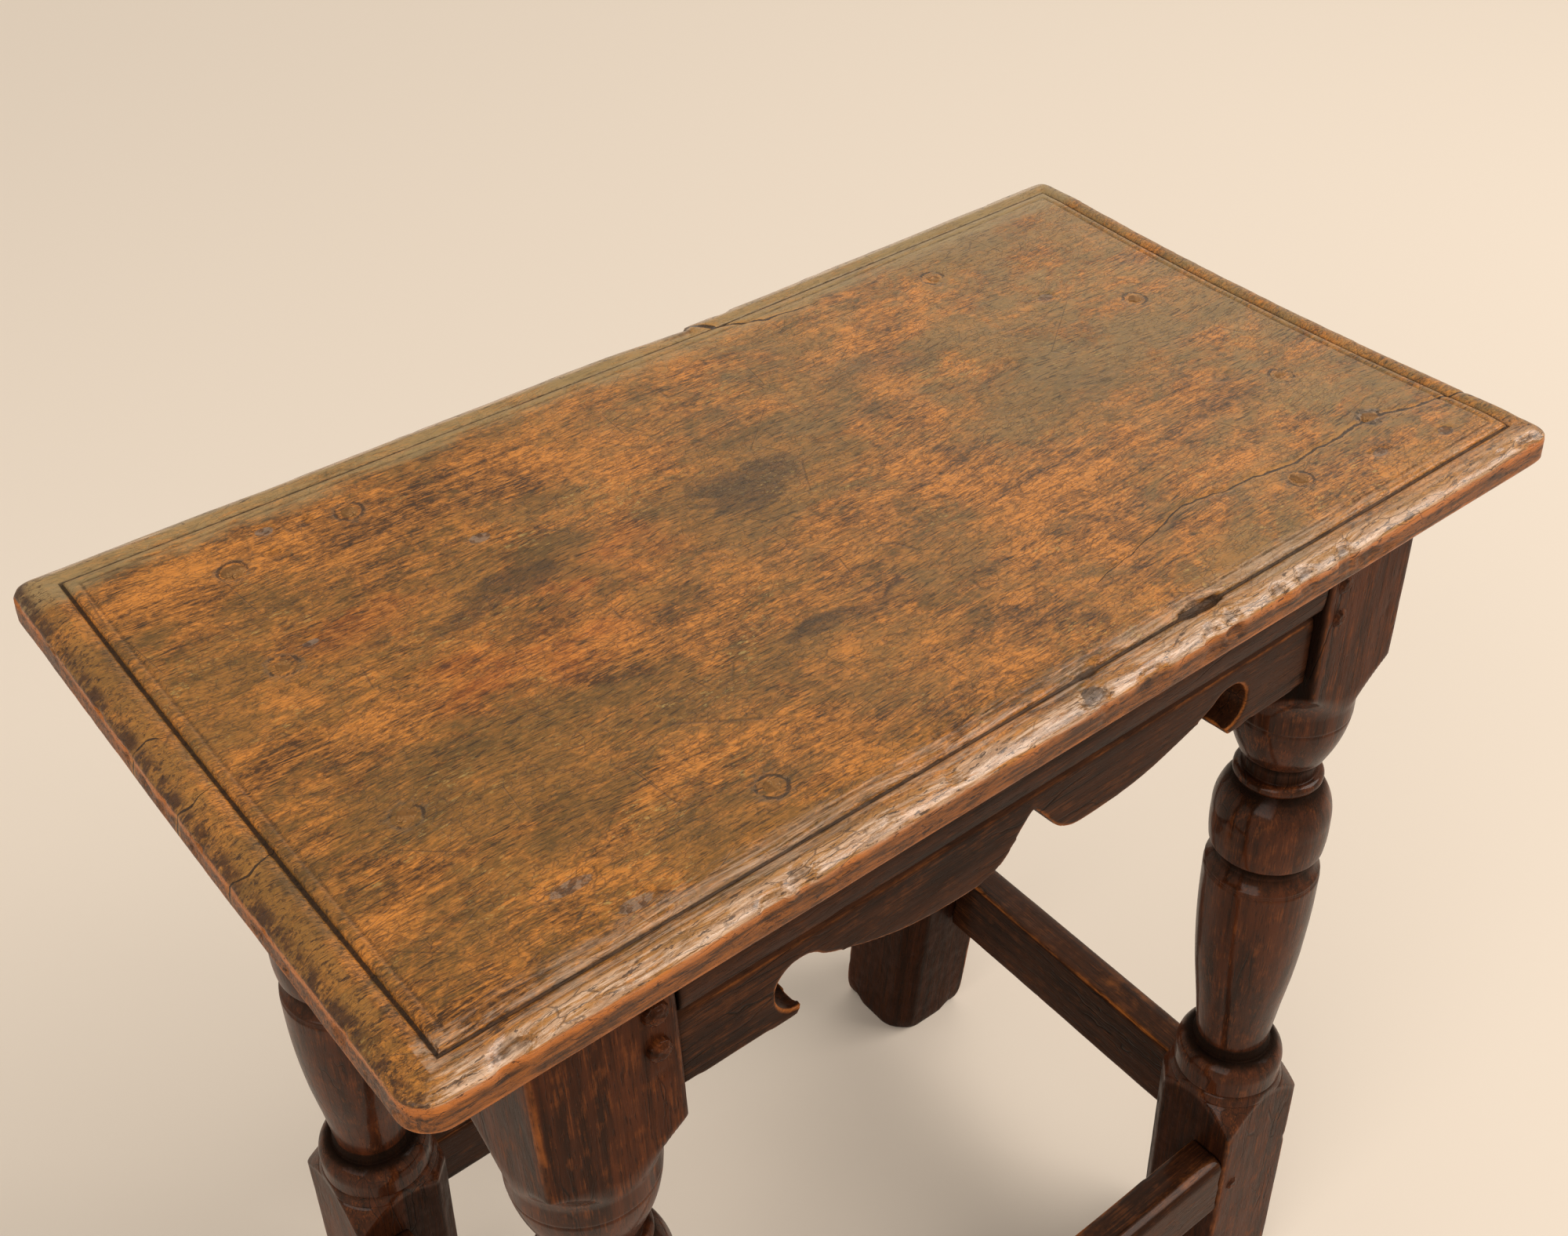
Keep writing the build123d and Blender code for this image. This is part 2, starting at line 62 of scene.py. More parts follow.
log = logging.getLogger("joint_stool")
Array = np.ndarray
Colour = tuple[float, float, float, float]
Rgb = tuple[int, int, int]
Triple = tuple[float, float, float]


def srgb(red: int, green: int, blue: int) -> Colour:
    """Turn an sRGB colour into the linear one that the shaders use.

    Args:
        red: Red, 0 to 255.
        green: Green, 0 to 255.
        blue: Blue, 0 to 255.

    Returns:
        The linear colour with an alpha of one.
    """
    parts = [value / 255.0 for value in (red, green, blue)]
    linear = [v / 12.92 if v <= 0.04045 else ((v + 0.055) / 1.055) ** 2.4 for v in parts]
    return (linear[0], linear[1], linear[2], 1.0)


def smoothstep(low: float, high: float, value: Array) -> Array:
    """Ease a value from 0 at low to 1 at high.

    Args:
        low: Value that gives 0.
        high: Value that gives 1.
        value: Values to ease.

    Returns:
        The eased values.
    """
    t = np.clip((value - low) / (high - low), 0.0, 1.0)
    return t * t * (3.0 - 2.0 * t)


def bell(low: float, full: float, fading: float, gone: float, value: Array) -> Array:
    """Rise from low to full and fall again from fading to gone."""
    return smoothstep(low, full, value) * smoothstep(gone, fading, value)


def soft_min(first: Array, second: Array, blend: float) -> Array:
    """Take the lesser of two radii with a small rounding where they meet.

    Args:
        first: One set of radii.
        second: The other set.
        blend: Width of the rounding.

    Returns:
        The blended lesser radii.
    """
    overlap = np.maximum(0.0, 1.0 - np.abs(first - second) / blend)
    return np.minimum(first, second) - blend * overlap * overlap / 4.0


class Lattice:
    """Smooth seeded noise in space, for relief and wear that the meshes carry."""

    SIZE = 65536
    PRIMES = (73856093, 19349663, 83492791)
    LAYER_SHIFT = 37.7
    LAYER_SHRINK = 2.1

    def __init__(self, seed: int) -> None:
        """Fill the table of lattice values."""
        self.table = np.random.default_rng(seed).random(self.SIZE)

    def at(self, points: Array, cell: Sequence[float]) -> Array:
        """Read the noise at points.

        Args:
            points: N by 3 positions.
            cell: Size of a lattice cell along each axis.

        Returns:
            Values from -1 to 1.
        """
        scaled = points / np.asarray(cell, float)
        base = np.floor(scaled).astype(np.int64)
        part = scaled - base
        part = part * part * (3.0 - 2.0 * part)
        total = np.zeros(len(points))
        for corner in range(8):
            step = np.array([(corner >> axis) & 1 for axis in range(3)])
            weight = np.prod(np.where(step, part, 1.0 - part), axis=1)
            key = (base + step) * np.array(self.PRIMES)
            spot = (key[:, 0] ^ key[:, 1] ^ key[:, 2]) & (self.SIZE - 1)
            total += weight * self.table[spot]
        return 2.0 * total - 1.0

    def layered(self, points: Array, cell: Sequence[float], layers: int = 3,
                shift: float = 0.0) -> Array:
        """Add finer and weaker layers of the noise.

        Args:
            points: N by 3 positions.
            cell: Cell of the coarsest layer.
            layers: Number of layers.
            shift: Added to the positions, so that each use has its own pattern.

        Returns:
            Values from about -1 to 1.
        """
        total = np.zeros(len(points))
        size, weight, weights = np.asarray(cell, float), 1.0, 0.0
        for layer in range(layers):
            total += weight * self.at(points + shift + self.LAYER_SHIFT * layer, size)
            weights += weight
            size, weight = size / self.LAYER_SHRINK, weight / 2.0
        return total / weights


# --- Node trees ---------------------------------------------------------------------------


class Value:
    """A socket of a node tree. Arithmetic on it adds the Math nodes it needs."""

    def __init__(self, graph: "Graph", socket: Any) -> None:
        """Hold a socket and the graph it belongs to."""
        self.graph = graph
        self.socket = socket

    def math(self, operation: str, *others: "Number") -> "Value":
        """Add one Math node that starts from this value."""
        return self.graph.math(operation, self, *others)

    def __add__(self, other: "Number") -> "Value":
        """Add a value."""
        return self.math("ADD", other)

    __radd__ = __add__

    def __mul__(self, other: "Number") -> "Value":
        """Multiply by a value."""
        return self.math("MULTIPLY", other)

    __rmul__ = __mul__

    def __sub__(self, other: "Number") -> "Value":
        """Subtract a value."""
        return self.math("SUBTRACT", other)

    def __rsub__(self, other: "Number") -> "Value":
        """Subtract this from a value."""
        return self.graph.math("SUBTRACT", other, self)

    def __truediv__(self, other: "Number") -> "Value":
        """Divide by a value."""
        return self.math("DIVIDE", other)

    def __rtruediv__(self, other: "Number") -> "Value":
        """Divide a value by this."""
        return self.graph.math("DIVIDE", other, self)

    def __abs__(self) -> "Value":
        """Take the size without the sign."""
        return self.math("ABSOLUTE")

    def clipped(self) -> "Value":
        """Keep the value between 0 and 1."""
        settings = {"operation": "ADD", "use_clamp": True}
        return self.graph.node("ShaderNodeMath", settings, {0: self, 1: 0.0})

    def ease(self, low: float, high: float, to: tuple[float, float] = (0.0, 1.0)) -> "Value":
        """Ease the value between two limits.

        Args:
            low: Value that gives the first result.
            high: Value that gives the second.
            to: The two results.

        Returns:
            The eased value.
        """
        return self.graph.node(
            "ShaderNodeMapRange",
            {"interpolation_type": "SMOOTHSTEP"},
            {"Value": self, "From Min": low, "From Max": high, "To Min": to[0], "To Max": to[1]},
        )

    def fall(self, low: float, high: float, start: float = 1.0, stop: float = 0.0) -> "Value":
        """Ease from the start at low down or up to the stop at high."""
        return self.ease(low, high, to=(start, stop))


Number = Union[float, Value]


class Graph:
    """Builds a node tree out of short calls."""

    def __init__(self, tree: bpy.types.NodeTree) -> None:
        """Start from an empty tree."""
        self.tree = tree
        tree.nodes.clear()

    def node(self, kind: str, settings: Mapping[str, Any] | None = None,
             values: Mapping[Any, Any] | None = None, out: Any = 0) -> Value:
        """Add a node.

        Args:
            kind: Its type.
            settings: Its own settings, which are set first.
            values: What its sockets hold or are linked to, by name or number.
            out: Name or number of the output to return.

        Returns:
            That output.
        """
        made = self.tree.nodes.new(kind)
        for key, setting in (settings or {}).items():
            setattr(made, key, setting)
        for key, value in (values or {}).items():
            if isinstance(value, Value):
                self.tree.links.new(value.socket, made.inputs[key])
            else:
                made.inputs[key].default_value = value
        return Value(self, made.outputs[out])

    def finish(self, kind: str, shader: Value) -> None:
        """Link a result to an output node of the given type."""
        self.tree.links.new(shader.socket, self.tree.nodes.new(kind).inputs[0])

    def math(self, operation: str, *values: Number) -> Value:
        """Add a Math node."""
        return self.node("ShaderNodeMath", {"operation": operation}, dict(enumerate(values)))

    def attribute(self, name: str, out: str = "Fac") -> Value:
        """Read a mesh attribute, as a number or, with the output Vector, as a vector."""
        return self.node("ShaderNodeAttribute", {"attribute_name": name}, out=out)

    def vector(self, x: Number = 0.0, y: Number = 0.0, z: Number = 0.0) -> Value:
        """Put three numbers together."""
        return self.node("ShaderNodeCombineXYZ", None, {0: x, 1: y, 2: z})

    def split(self, vector: Value) -> list[Value]:
        """Separate a vector into its three numbers."""
        first = self.node("ShaderNodeSeparateXYZ", None, {0: vector})
        return [Value(self, output) for output in first.socket.node.outputs]

    def stretched(self, vector: Value, scale: Triple) -> Value:
        """Scale a vector along each axis."""
        return self.node("ShaderNodeVectorMath", {"operation": "MULTIPLY"}, {0: vector, 1: scale})

    def scaled(self, vector: Value, factor: Number) -> Value:
        """Scale a vector by a number."""
        return self.node("ShaderNodeVectorMath", {"operation": "SCALE"},
                         {0: vector, "Scale": factor})

    def shifted(self, vector: Value, offset: Any) -> Value:
        """Add a vector to a vector."""
        return self.node("ShaderNodeVectorMath", {"operation": "ADD"}, {0: vector, 1: offset})

    def noise(self, vector: Value, scale: Triple, detail: float = 3.0, rough: float = 0.5,
              twist: float = 0.0) -> Value:
        """Read Noise Texture.

        Args:
            vector: Where.
            scale: Scale along each axis.
            detail: Layers of detail.
            rough: Weight of the finer layers.
            twist: Distortion.

        Returns:
            The noise, about 0.5.
        """
        return self.node("ShaderNodeTexNoise", None, {
            "Vector": self.stretched(vector, scale), "Scale": 1.0, "Detail": detail,
            "Roughness": rough, "Distortion": twist,
        })

    def cracks(self, vector: Value, scale: Triple, width: float) -> Value:
        """Draw the thin borders of Voronoi cells.

        Args:
            vector: Where.
            scale: Scale along each axis.
            width: Width of the border, as a part of a cell.

        Returns:
            One on the border, zero away from it.
        """
        where = {"Vector": self.stretched(vector, scale), "Scale": 1.0}
        edge = self.node("ShaderNodeTexVoronoi", {"feature": "DISTANCE_TO_EDGE"}, where,
                         out="Distance")
        return edge.fall(0.0, width)

    def mix(self, factor: Number, *colours: Any) -> Value:
        """Mix two colours.

        Args:
            factor: How much of the second.
            colours: The two, each a value or an sRGB triple.

        Returns:
            The mixed colour.
        """
        first, second = (c if isinstance(c, Value) else srgb(*c) for c in colours)
        settings = {"data_type": "RGBA", "clamp_factor": True}
        return self.node("ShaderNodeMix", settings, {0: factor, 6: first, 7: second}, out=2)

    def bump(self, height: Value, depth: float, under: Value | None = None) -> Value:
        """Turn a height into a normal.

        Args:
            height: Height, from 0 to 1.
            depth: What a height of one stands for, in millimetres.
            under: Normal that this one lies on.

        Returns:
            The normal.
        """
        values: dict[Any, Any] = {"Strength": 1.0, "Distance": depth * MM, "Height": height}
        if under is not None:
            values["Normal"] = under
        return self.node("ShaderNodeBump", None, values)


class Paint:
    """A colour that is built up in layers."""

    def __init__(self, graph: Graph, colour: Value) -> None:
        """Start from the first colour."""
        self.graph = graph
        self.colour = colour

    def lay(self, cover: Number, tone: Any) -> None:
        """Lay a tone over the colour, where the cover is above 0."""
        self.colour = self.graph.mix(cover, self.colour, tone)


def new_material(name: str) -> tuple[bpy.types.Material, Graph]:
    """Make a material with an empty node tree."""
    material = bpy.data.materials.new(name)
    material.use_nodes = True
    return material, Graph(material.node_tree)


# --- Finishes -----------------------------------------------------------------------------


@dataclass(frozen=True)
class OakTones:
    """Colours of one part's oak and of what covers it."""

    deep: Rgb
    mid: Rgb
    light: Rgb
    rubbed: Rgb
    grime: Rgb


@dataclass(frozen=True)
class FrameFinish:
    """Dark waxed oak of the legs, rails and pegs.

    Attributes:
        name: Name of the material.
        tones: Its colours.
        gloss: Roughness of the waxed surface.
        rub: How strongly edges are rubbed bright.
        coat: Weight of the wax.
        open_grain: Depth of the open grain in millimetres.
        lumps: Depth of the hand-worked unevenness in millimetres.
    """

    name: str
    tones: OakTones
    gloss: float = 0.36
    rub: float = 1.0
    coat: float = 0.3
    open_grain: float = 0.22
    lumps: float = 0.9

    def build(self) -> bpy.types.Material:
        """Make the material.

        Returns:
            The material, which reads the attributes grain, wear, grime and polish.
        """
        material, graph = new_material(self.name)
        grain = graph.attribute("grain", out="Vector")
        wear, grime, polish = map(graph.attribute, ("wear", "grime", "polish"))

        broad = graph.noise(grain, (9, 26, 26), 4, 0.55, 0.6)
        streaks = graph.noise(grain, (11, 260, 260), 4, 0.6, 0.25)
        fibres = graph.noise(grain, (55, 1300, 1300), 3, 0.6)
        mottle = graph.noise(grain, (120, 150, 150), 5, 0.65)
        pores = graph.noise(grain, (150, 1500, 1500), 2, 0.5).ease(0.57, 0.70)
        bent = graph.shifted(graph.stretched(grain, (16, 190, 190)),
                             graph.noise(grain, (60, 60, 60), 2) * 0.5)
        checks = graph.cracks(bent, (1, 1, 1), 0.035)
        checks = checks * graph.noise(grain, (14, 40, 40), 2).ease(0.52, 0.66)

        tones = self.tones
        tone = (streaks * 0.55 + broad * 0.45).ease(0.36, 0.66)
        paint = Paint(graph, graph.mix(tone, tones.deep, tones.mid))
        glow = (fibres * 0.5 + mottle * 0.5).ease(0.50, 0.66)
        paint.lay(glow * 0.55, tones.light)
        patchy = graph.noise(grain, (70, 110, 110), 4, 0.7)
        rub = (wear * self.rub + (patchy - 0.5) * 0.9 * wear.ease(0.02, 0.3)).ease(0.18, 0.8)
        dirt = (grime + (mottle - 0.5) * 0.7 * grime.ease(0.0, 0.25)).ease(0.1, 0.85)
        paint.lay(rub * 0.9, tones.rubbed)
        for cover in (pores * 0.5, dirt * 0.92, checks * 0.85):
            paint.lay(cover, tones.grime)

        height = fibres * 0.4 + streaks * 0.35 + mottle * 0.25 - pores * 0.5 - checks * 1.2
        normal = graph.bump(graph.noise(grain, (28, 60, 60), 3, 0.5), self.lumps)
        rough = mottle * 0.22 + fibres * 0.16 + dirt * 0.22 - rub * 0.06 + (self.gloss - 0.17)
        graph.finish("ShaderNodeOutputMaterial", graph.node("ShaderNodeBsdfPrincipled", None, {
            "Base Color": paint.colour,
            "Roughness": rough.clipped(),
            "Normal": graph.bump(height, self.open_grain, normal),
            "Specular IOR Level": 0.05,
            "Specular Tint": srgb(255, 206, 160),
            "Coat Weight": ((1.0 - dirt) * polish * self.coat).clipped(),
            "Coat Roughness": 0.12,
        }))
        return material


@dataclass(frozen=True)
class Patch:
    """A soft-edged area of the plank: middle, half sizes in millimetres and strength."""

    x: float
    y: float
    length: float
    width: float
    strength: float


@dataclass(frozen=True)
class PlankFinish:
    """Crazed, hand-polished oak of the plank top.

    Attributes:
        name: Name of the material.
        smoky: Dark bare areas.
        red: Redder areas.
        olive: Areas under an old greenish film.
        filler: Grey filled knots and chips.
        waves: Depth of the old surface's unevenness in millimetres.
        open_grain: Depth of its grain and cracks in millimetres.
    """

    name: str
    smoky: tuple[Patch, ...]
    red: tuple[Patch, ...]
    olive: tuple[Patch, ...]
    filler: tuple[Patch, ...]
    waves: float = 0.7
    open_grain: float = 0.26

    def spots(self, graph: Graph, place: Value, patches: Sequence[Patch], ragged: float) -> Value:
        """Add up soft patches with ragged borders.

        Args:
            graph: The tree.
            place: Position on the plank in metres.
            patches: The patches.
            ragged: How uneven the borders are.

        Returns:
            A mask from 0 to 1.
        """
        x, y, _ = graph.split(place)
        rough = graph.noise(place, (60, 90, 90), 7, 0.72, 0.4) - 0.5
        total: Number = 0.0
        for patch in patches:
            dx = (x - patch.x * MM) / (patch.length * MM)
            dy = (y - patch.y * MM) / (patch.width * MM)
            reach = dx * dx + dy * dy + rough * ragged
            total = reach.fall(0.0, 1.0, patch.strength) + total
        return total.clipped()

    def wood(self, graph: Graph, place: Value, bent: Value) -> tuple[Paint, Value]:
        """Paint the plain oak: long streaks, fine fibres and short dark pores.

        Args:
            graph: The tree.
            place: Position on the plank.
            bent: The same, wandering with the grain.

        Returns:
            Its paint and its relief.
        """
        streaks = graph.noise(bent, (12, 240, 240), 5, 0.62, 0.2)
        fibres = graph.noise(bent, (110, 1250, 1250), 4, 0.62)
        hairs = graph.noise(bent, (300, 3200, 3200), 2, 0.5)
        dabs = graph.noise(place, (330, 560, 560), 6, 0.76, 0.6)
        cloud = graph.noise(place, (30, 42, 42), 7, 0.7, 0.3)
        tone = streaks * 0.16 + fibres * 0.16 + hairs * 0.12 + dabs * 0.28 + cloud * 0.28
        paint = Paint(graph, graph.mix(tone.ease(0.44, 0.50), (68, 40, 15), (144, 90, 34)))
        paint.lay(tone.ease(0.495, 0.55), (200, 126, 50))
        strokes = graph.noise(bent, (210, 1900, 1900), 3, 0.62).ease(0.50, 0.57)
        lit = graph.noise(place, (70, 110, 110), 6, 0.7).ease(0.46, 0.56)
        paint.lay(strokes * lit * 0.55, (208, 134, 58))
        return paint, fibres * 0.3 + hairs * 0.2 + dabs * 0.35 + strokes * 0.15

    def film(self, graph: Graph, place: Value, bent: Value, paint: Paint) -> None:
        """Lay the old polish over the wood: olive clouds, smoke and red areas, pale flecks.

        Args:
            graph: The tree.
            place: Position on the plank.
            bent: The same, wandering with the grain.
            paint: The paint to lay it on.
        """
        broad = graph.noise(place, (9, 14, 14), 6, 0.62, 0.5)
        cloud = graph.noise(place, (34, 52, 52), 8, 0.74, 0.5)
        torn = graph.noise(bent, (240, 520, 520), 5, 0.76)
        olive = self.spots(graph, place, self.olive, 2.2)
        cover = broad * 0.42 + cloud * 0.38 + torn * 0.20 + olive * 0.10
        paint.lay(cover.ease(0.46, 0.56) * 0.6, (108, 80, 36))
        thick = (cloud * 0.6 + torn * 0.4 + olive * 0.08).ease(0.55, 0.64)
        paint.lay(thick * 0.48, (78, 58, 28))
        x, y, _ = graph.split(place)
        dry = (x * 2.2 + y * 1.2 + (broad - 0.5) * 1.6).ease(-0.15, 0.5)
        paint.lay(dry * cloud.ease(0.36, 0.56) * 0.5, (142, 116, 70))
        red = self.spots(graph, place, self.red, 1.8)
        paint.lay(red * cloud.fall(0.40, 0.56, 0.42, 0.08), (176, 90, 28))
        smoky = self.spots(graph, place, self.smoky, 2.4).ease(0.12, 0.62)
        paint.lay(smoky * torn.fall(0.38, 0.54, 0.85, 0.5), (60, 44, 26))
        crumbs = graph.noise(bent, (340, 760, 760), 5, 0.72)
        flock = graph.noise(place, (26, 34, 34), 5, 0.65).ease(0.52, 0.64)
        flecks = crumbs.ease(0.56, 0.64) * (flock + olive * 0.35).clipped()
        paint.lay(flecks * 0.5, (190, 160, 92))

    def build(self) -> bpy.types.Material:
        """Make the material.

        Returns:
            The material, which reads object coordinates and wear, grime, nose, end, seam, gape
            and peg.
        """
        material, graph = new_material(self.name)
        place = graph.node("ShaderNodeTexCoord", out="Object")
        wear, grime, nose, end, seam, peg, gape = map(
            graph.attribute, ("wear", "grime", "nose", "end", "seam", "peg", "gape"))
        seam = abs(seam)
        x, y, _ = graph.split(place)

        wander = graph.noise(place, (7, 9, 9)) - 0.5
        bent = graph.shifted(place, graph.vector(y=wander * 0.024))
        shake = graph.noise(place, (140, 140, 140), 4, 0.6) - 0.5
        shaken = graph.shifted(bent, graph.vector(shake * 0.004, shake * 0.003))
        paint, relief = self.wood(graph, place, bent)
        self.film(graph, place, bent, paint)

        # Fine crackle, short dashes along the grain and long faint scratches.
        ink = (38, 25, 17)
        where = graph.noise(place, (30, 42, 42), 5, 0.66)
        gaps = graph.noise(place, (260, 260, 260), 3, 0.6)
        crackle = graph.cracks(shaken, (340, 760, 760), 0.12)
        crackle = crackle * where.ease(0.38, 0.54) * gaps.ease(0.40, 0.52)
        scratches: Number = 0.0
        for turn, wide in ((0.5, 0.010), (1.2, 0.008), (-0.35, 0.010)):
            turned = graph.node("ShaderNodeVectorRotate", {"rotation_type": "Z_AXIS"},
                                {"Vector": place, "Angle": turn})
            worn = graph.noise(turned, (50, 90, 90), 3).ease(0.54, 0.62)
            scratches = graph.cracks(turned, (11, 60, 60), wide) * worn + scratches
        scratches = scratches.clipped()
        dashes = graph.noise(bent, (170, 1600, 1600), 3, 0.6).ease(0.57, 0.64)
        paint.lay(crackle * 0.4, ink)
        paint.lay(scratches * 0.5, (60, 42, 26))
        paint.lay(dashes * where.fall(0.62, 0.40, 0.25, 0.75), ink)

        # The moulded edge: pale or khaki on its thumb, scuffed white along the front.
        cloud = graph.noise(place, (40, 60, 60), 7, 0.72, 0.4)
        fibres = graph.noise(bent, (60, 900, 900), 4, 0.65)
        thumb = nose.ease(0.02, 0.10) * nose.fall(0.46, 0.58)
        pale = graph.mix(end, (176, 124, 66), (150, 104, 46))
        paint.lay(thumb * cloud.ease(0.38, 0.58, to=(0.25, 0.75)), pale)
        far = (y + (cloud - 0.5) * 0.02).ease(0.101, 0.110) * nose.fall(0.42, 0.6, 1.0, 0.3)
        dusty = (cloud * 0.5 + fibres * 0.5).ease(0.36, 0.54, to=(0.35, 0.8))
        paint.lay(far * dusty, (150, 126, 84))
        long_side = (1.0 - end).clipped()
        scuff = graph.noise(bent, (38, 430, 430), 6, 0.72)
        rolled = (y + (scuff - 0.5) * 0.012).ease(-0.1035, -0.109) * nose.fall(0.0, 0.04, 0.5)
        scuffed = thumb * nose.ease(0.06, 0.14) * long_side + rolled
        scuffed = scuffed * scuff.ease(0.44, 0.53) * x.fall(0.09, 0.18, 1.0, 0.45)
        bare = graph.mix(fibres.ease(0.42, 0.58), (172, 136, 106), (222, 188, 158))
        paint.lay((scuffed * 0.74).clipped(), bare)

        # The ends' dark band and specks, the brown sides, and what is rubbed or checked.
        band = nose.ease(0.17, 0.27) * nose.fall(0.44, 0.52) * end
        paint.lay(band * (cloud * 0.5 + scuff * 0.5).ease(0.43, 0.52) * 0.9, (64, 36, 18))
        speckle = graph.noise(place, (520, 620, 620), 5, 0.75).ease(0.53, 0.60)
        paint.lay(speckle * thumb * end * 0.75, (62, 38, 20))
        grained = (fibres * 0.6 + cloud * 0.4).ease(0.42, 0.58)
        paint.lay(nose.ease(0.42, 0.54) * 0.94, graph.mix(grained, (62, 34, 14), (134, 76, 28)))
        rub = (wear + (cloud - 0.5) * 1.6 * wear.ease(0.02, 0.3)).ease(0.25, 0.8)
        paint.lay(rub * 0.8, (188, 108, 42))
        checks = graph.cracks(shaken, (75, 430, 430), 0.05) * nose.ease(0.01, 0.08)
        checks = checks * end.ease(0.0, 1.0, to=(1.0, 0.45))
        nicks = graph.noise(shaken, (190, 900, 900), 3, 0.6).ease(0.60, 0.67)
        nicks = nicks * nose.ease(0.01, 0.06) * nose.fall(0.66, 0.8)
        nicks = nicks + checks * cloud.ease(0.44, 0.56) * nose.fall(0.6, 0.75, 0.75, 0.1)
        nicks = nicks.clipped()
        paint.lay(nicks * 0.8, (46, 30, 22))

        # Pegs' rims, fillings, cracks and dirt.
        torn = graph.noise(place, (420, 420, 420), 3, 0.6)
        broken = graph.noise(place, (150, 150, 150), 4, 0.7)
        edge = peg + (torn - 0.5) * 1.6
        rim = edge.ease(3.9, 4.3) * edge.fall(4.8, 5.5)
        halo = (peg + (torn - 0.5) * 9.0).fall(4.5, 6.8) * peg.ease(4.2, 4.8)
        paint.lay(halo * 0.42, (104, 84, 62))
        filler = self.spots(graph, place, self.filler, 1.5).ease(0.35, 0.6)
        paint.lay(filler * nose.fall(0.1, 0.5, 0.7, 0.2),
                  graph.mix(torn.ease(0.45, 0.55), (62, 50, 44), (128, 110, 94)))
        split = (seam / gape + (broken - 0.5) * 4.2).fall(0.5, 1.3)
        lips = (seam + (broken - 0.5) * 4.0).fall(0.6, 2.4) * gape.ease(0.1, 0.6)
        paint.lay(lips * 0.5, (190, 132, 62))
        lines = (split + rim * broken.ease(0.46, 0.52) * 0.8).clipped()
        paint.lay(lines * 0.92, (30, 20, 15))
        dirt = (grime + (torn - 0.5) * 0.8 * grime.ease(0.0, 0.3)).ease(0.12, 0.85)
        paint.lay(dirt * 0.86, (44, 33, 25))

        height = relief * 0.55 - dashes * 0.4 - crackle * 0.4 - scratches * 0.4 - nicks * 0.7
        height = height - lines * 1.2 + filler * 0.3 + torn * 0.12
        height = height + thumb * (scuff * 0.3 - checks * 0.4)
        normal = graph.bump(graph.noise(place, (38, 60, 60), 4, 0.5), self.waves)
        crown = thumb * long_side * nose.fall(0.28, 0.42)
        rough = cloud * 0.30 + relief * 0.24 + dirt * 0.25 + filler * 0.1 + nicks * 0.15 + 0.10
        rough = rough - crown * 0.1 + nose.ease(0.42, 0.52) * 0.15
        graph.finish("ShaderNodeOutputMaterial", graph.node("ShaderNodeBsdfPrincipled", None, {
            "Base Color": paint.colour,
            "Roughness": rough.clipped(),
            "Normal": graph.bump(height, self.open_grain, normal),
            "Specular IOR Level": 0.22,
            "Coat Weight": ((1.0 - dirt) * (crown * 0.5 + 0.16)).clipped(),
            "Coat Roughness": 0.2,
        }))
        return material


# --- Mesh making --------------------------------------------------------------------------


def add_object(name: str, data: Any) -> bpy.types.Object:
    """Put an object with the given data into the scene."""
    made = bpy.data.objects.new(name, data)
    bpy.context.scene.collection.objects.link(made)
    return made


def mesh_object(name: str, points: Array, quads: Array, caps: Sequence[Array]
                ) -> bpy.types.Object:
    """Make an object from points in millimetres.

    Args:
        name: Name of the object.
        points: N by 3 points.
        quads: M by 4 point numbers.
        caps: Larger faces that close the ends.

    Returns:
        The object, linked to the scene.
    """
    mesh = bpy.data.meshes.new(name)
    mesh.from_pydata((points * MM).tolist(), [], quads.tolist() + [cap.tolist() for cap in caps])
    mesh.shade_smooth()
    mesh.update()
    return add_object(name, mesh)


def settled(holder: bpy.types.Object, name: str) -> bpy.types.Object:
    """Turn an object's modifiers into a plain mesh of its own.

    Args:
        holder: The object, which is removed.
        name: Name of the new object and its mesh.

    Returns:
        The new object.
    """
    depsgraph = bpy.context.evaluated_depsgraph_get()
    mesh = bpy.data.meshes.new_from_object(holder.evaluated_get(depsgraph))
    bpy.data.objects.remove(holder)
    mesh.name = name
    mesh.shade_smooth()
    return add_object(name, mesh)


def normals_of(mesh: bpy.types.Mesh) -> Array:
    """Read a mesh's point normals."""
    flat = np.empty(len(mesh.vertices) * 3, np.float32)
    mesh.vertex_normals.foreach_get("vector", flat)
    return flat.reshape(-1, 3).astype(float)


def write_points(mesh: bpy.types.Mesh, points: Array) -> None:
    """Write a mesh's points, given in millimetres."""
    mesh.vertices.foreach_set("co", (points * MM).astype(np.float32).ravel())
    mesh.update()


def write_attributes(mesh: bpy.types.Mesh, **layers: Array) -> None:
    """Store one number or one vector at each point, for each named attribute.

    Args:
        mesh: The mesh.
        layers: N numbers or N by 3 vectors, by the attribute's name.
    """
    for name, values in layers.items():
        kind, field = ("FLOAT", "value") if values.ndim == 1 else ("FLOAT_VECTOR", "vector")
        made = mesh.attributes.new(name, kind, "POINT")
        made.data.foreach_set(field, values.astype(np.float32).ravel())


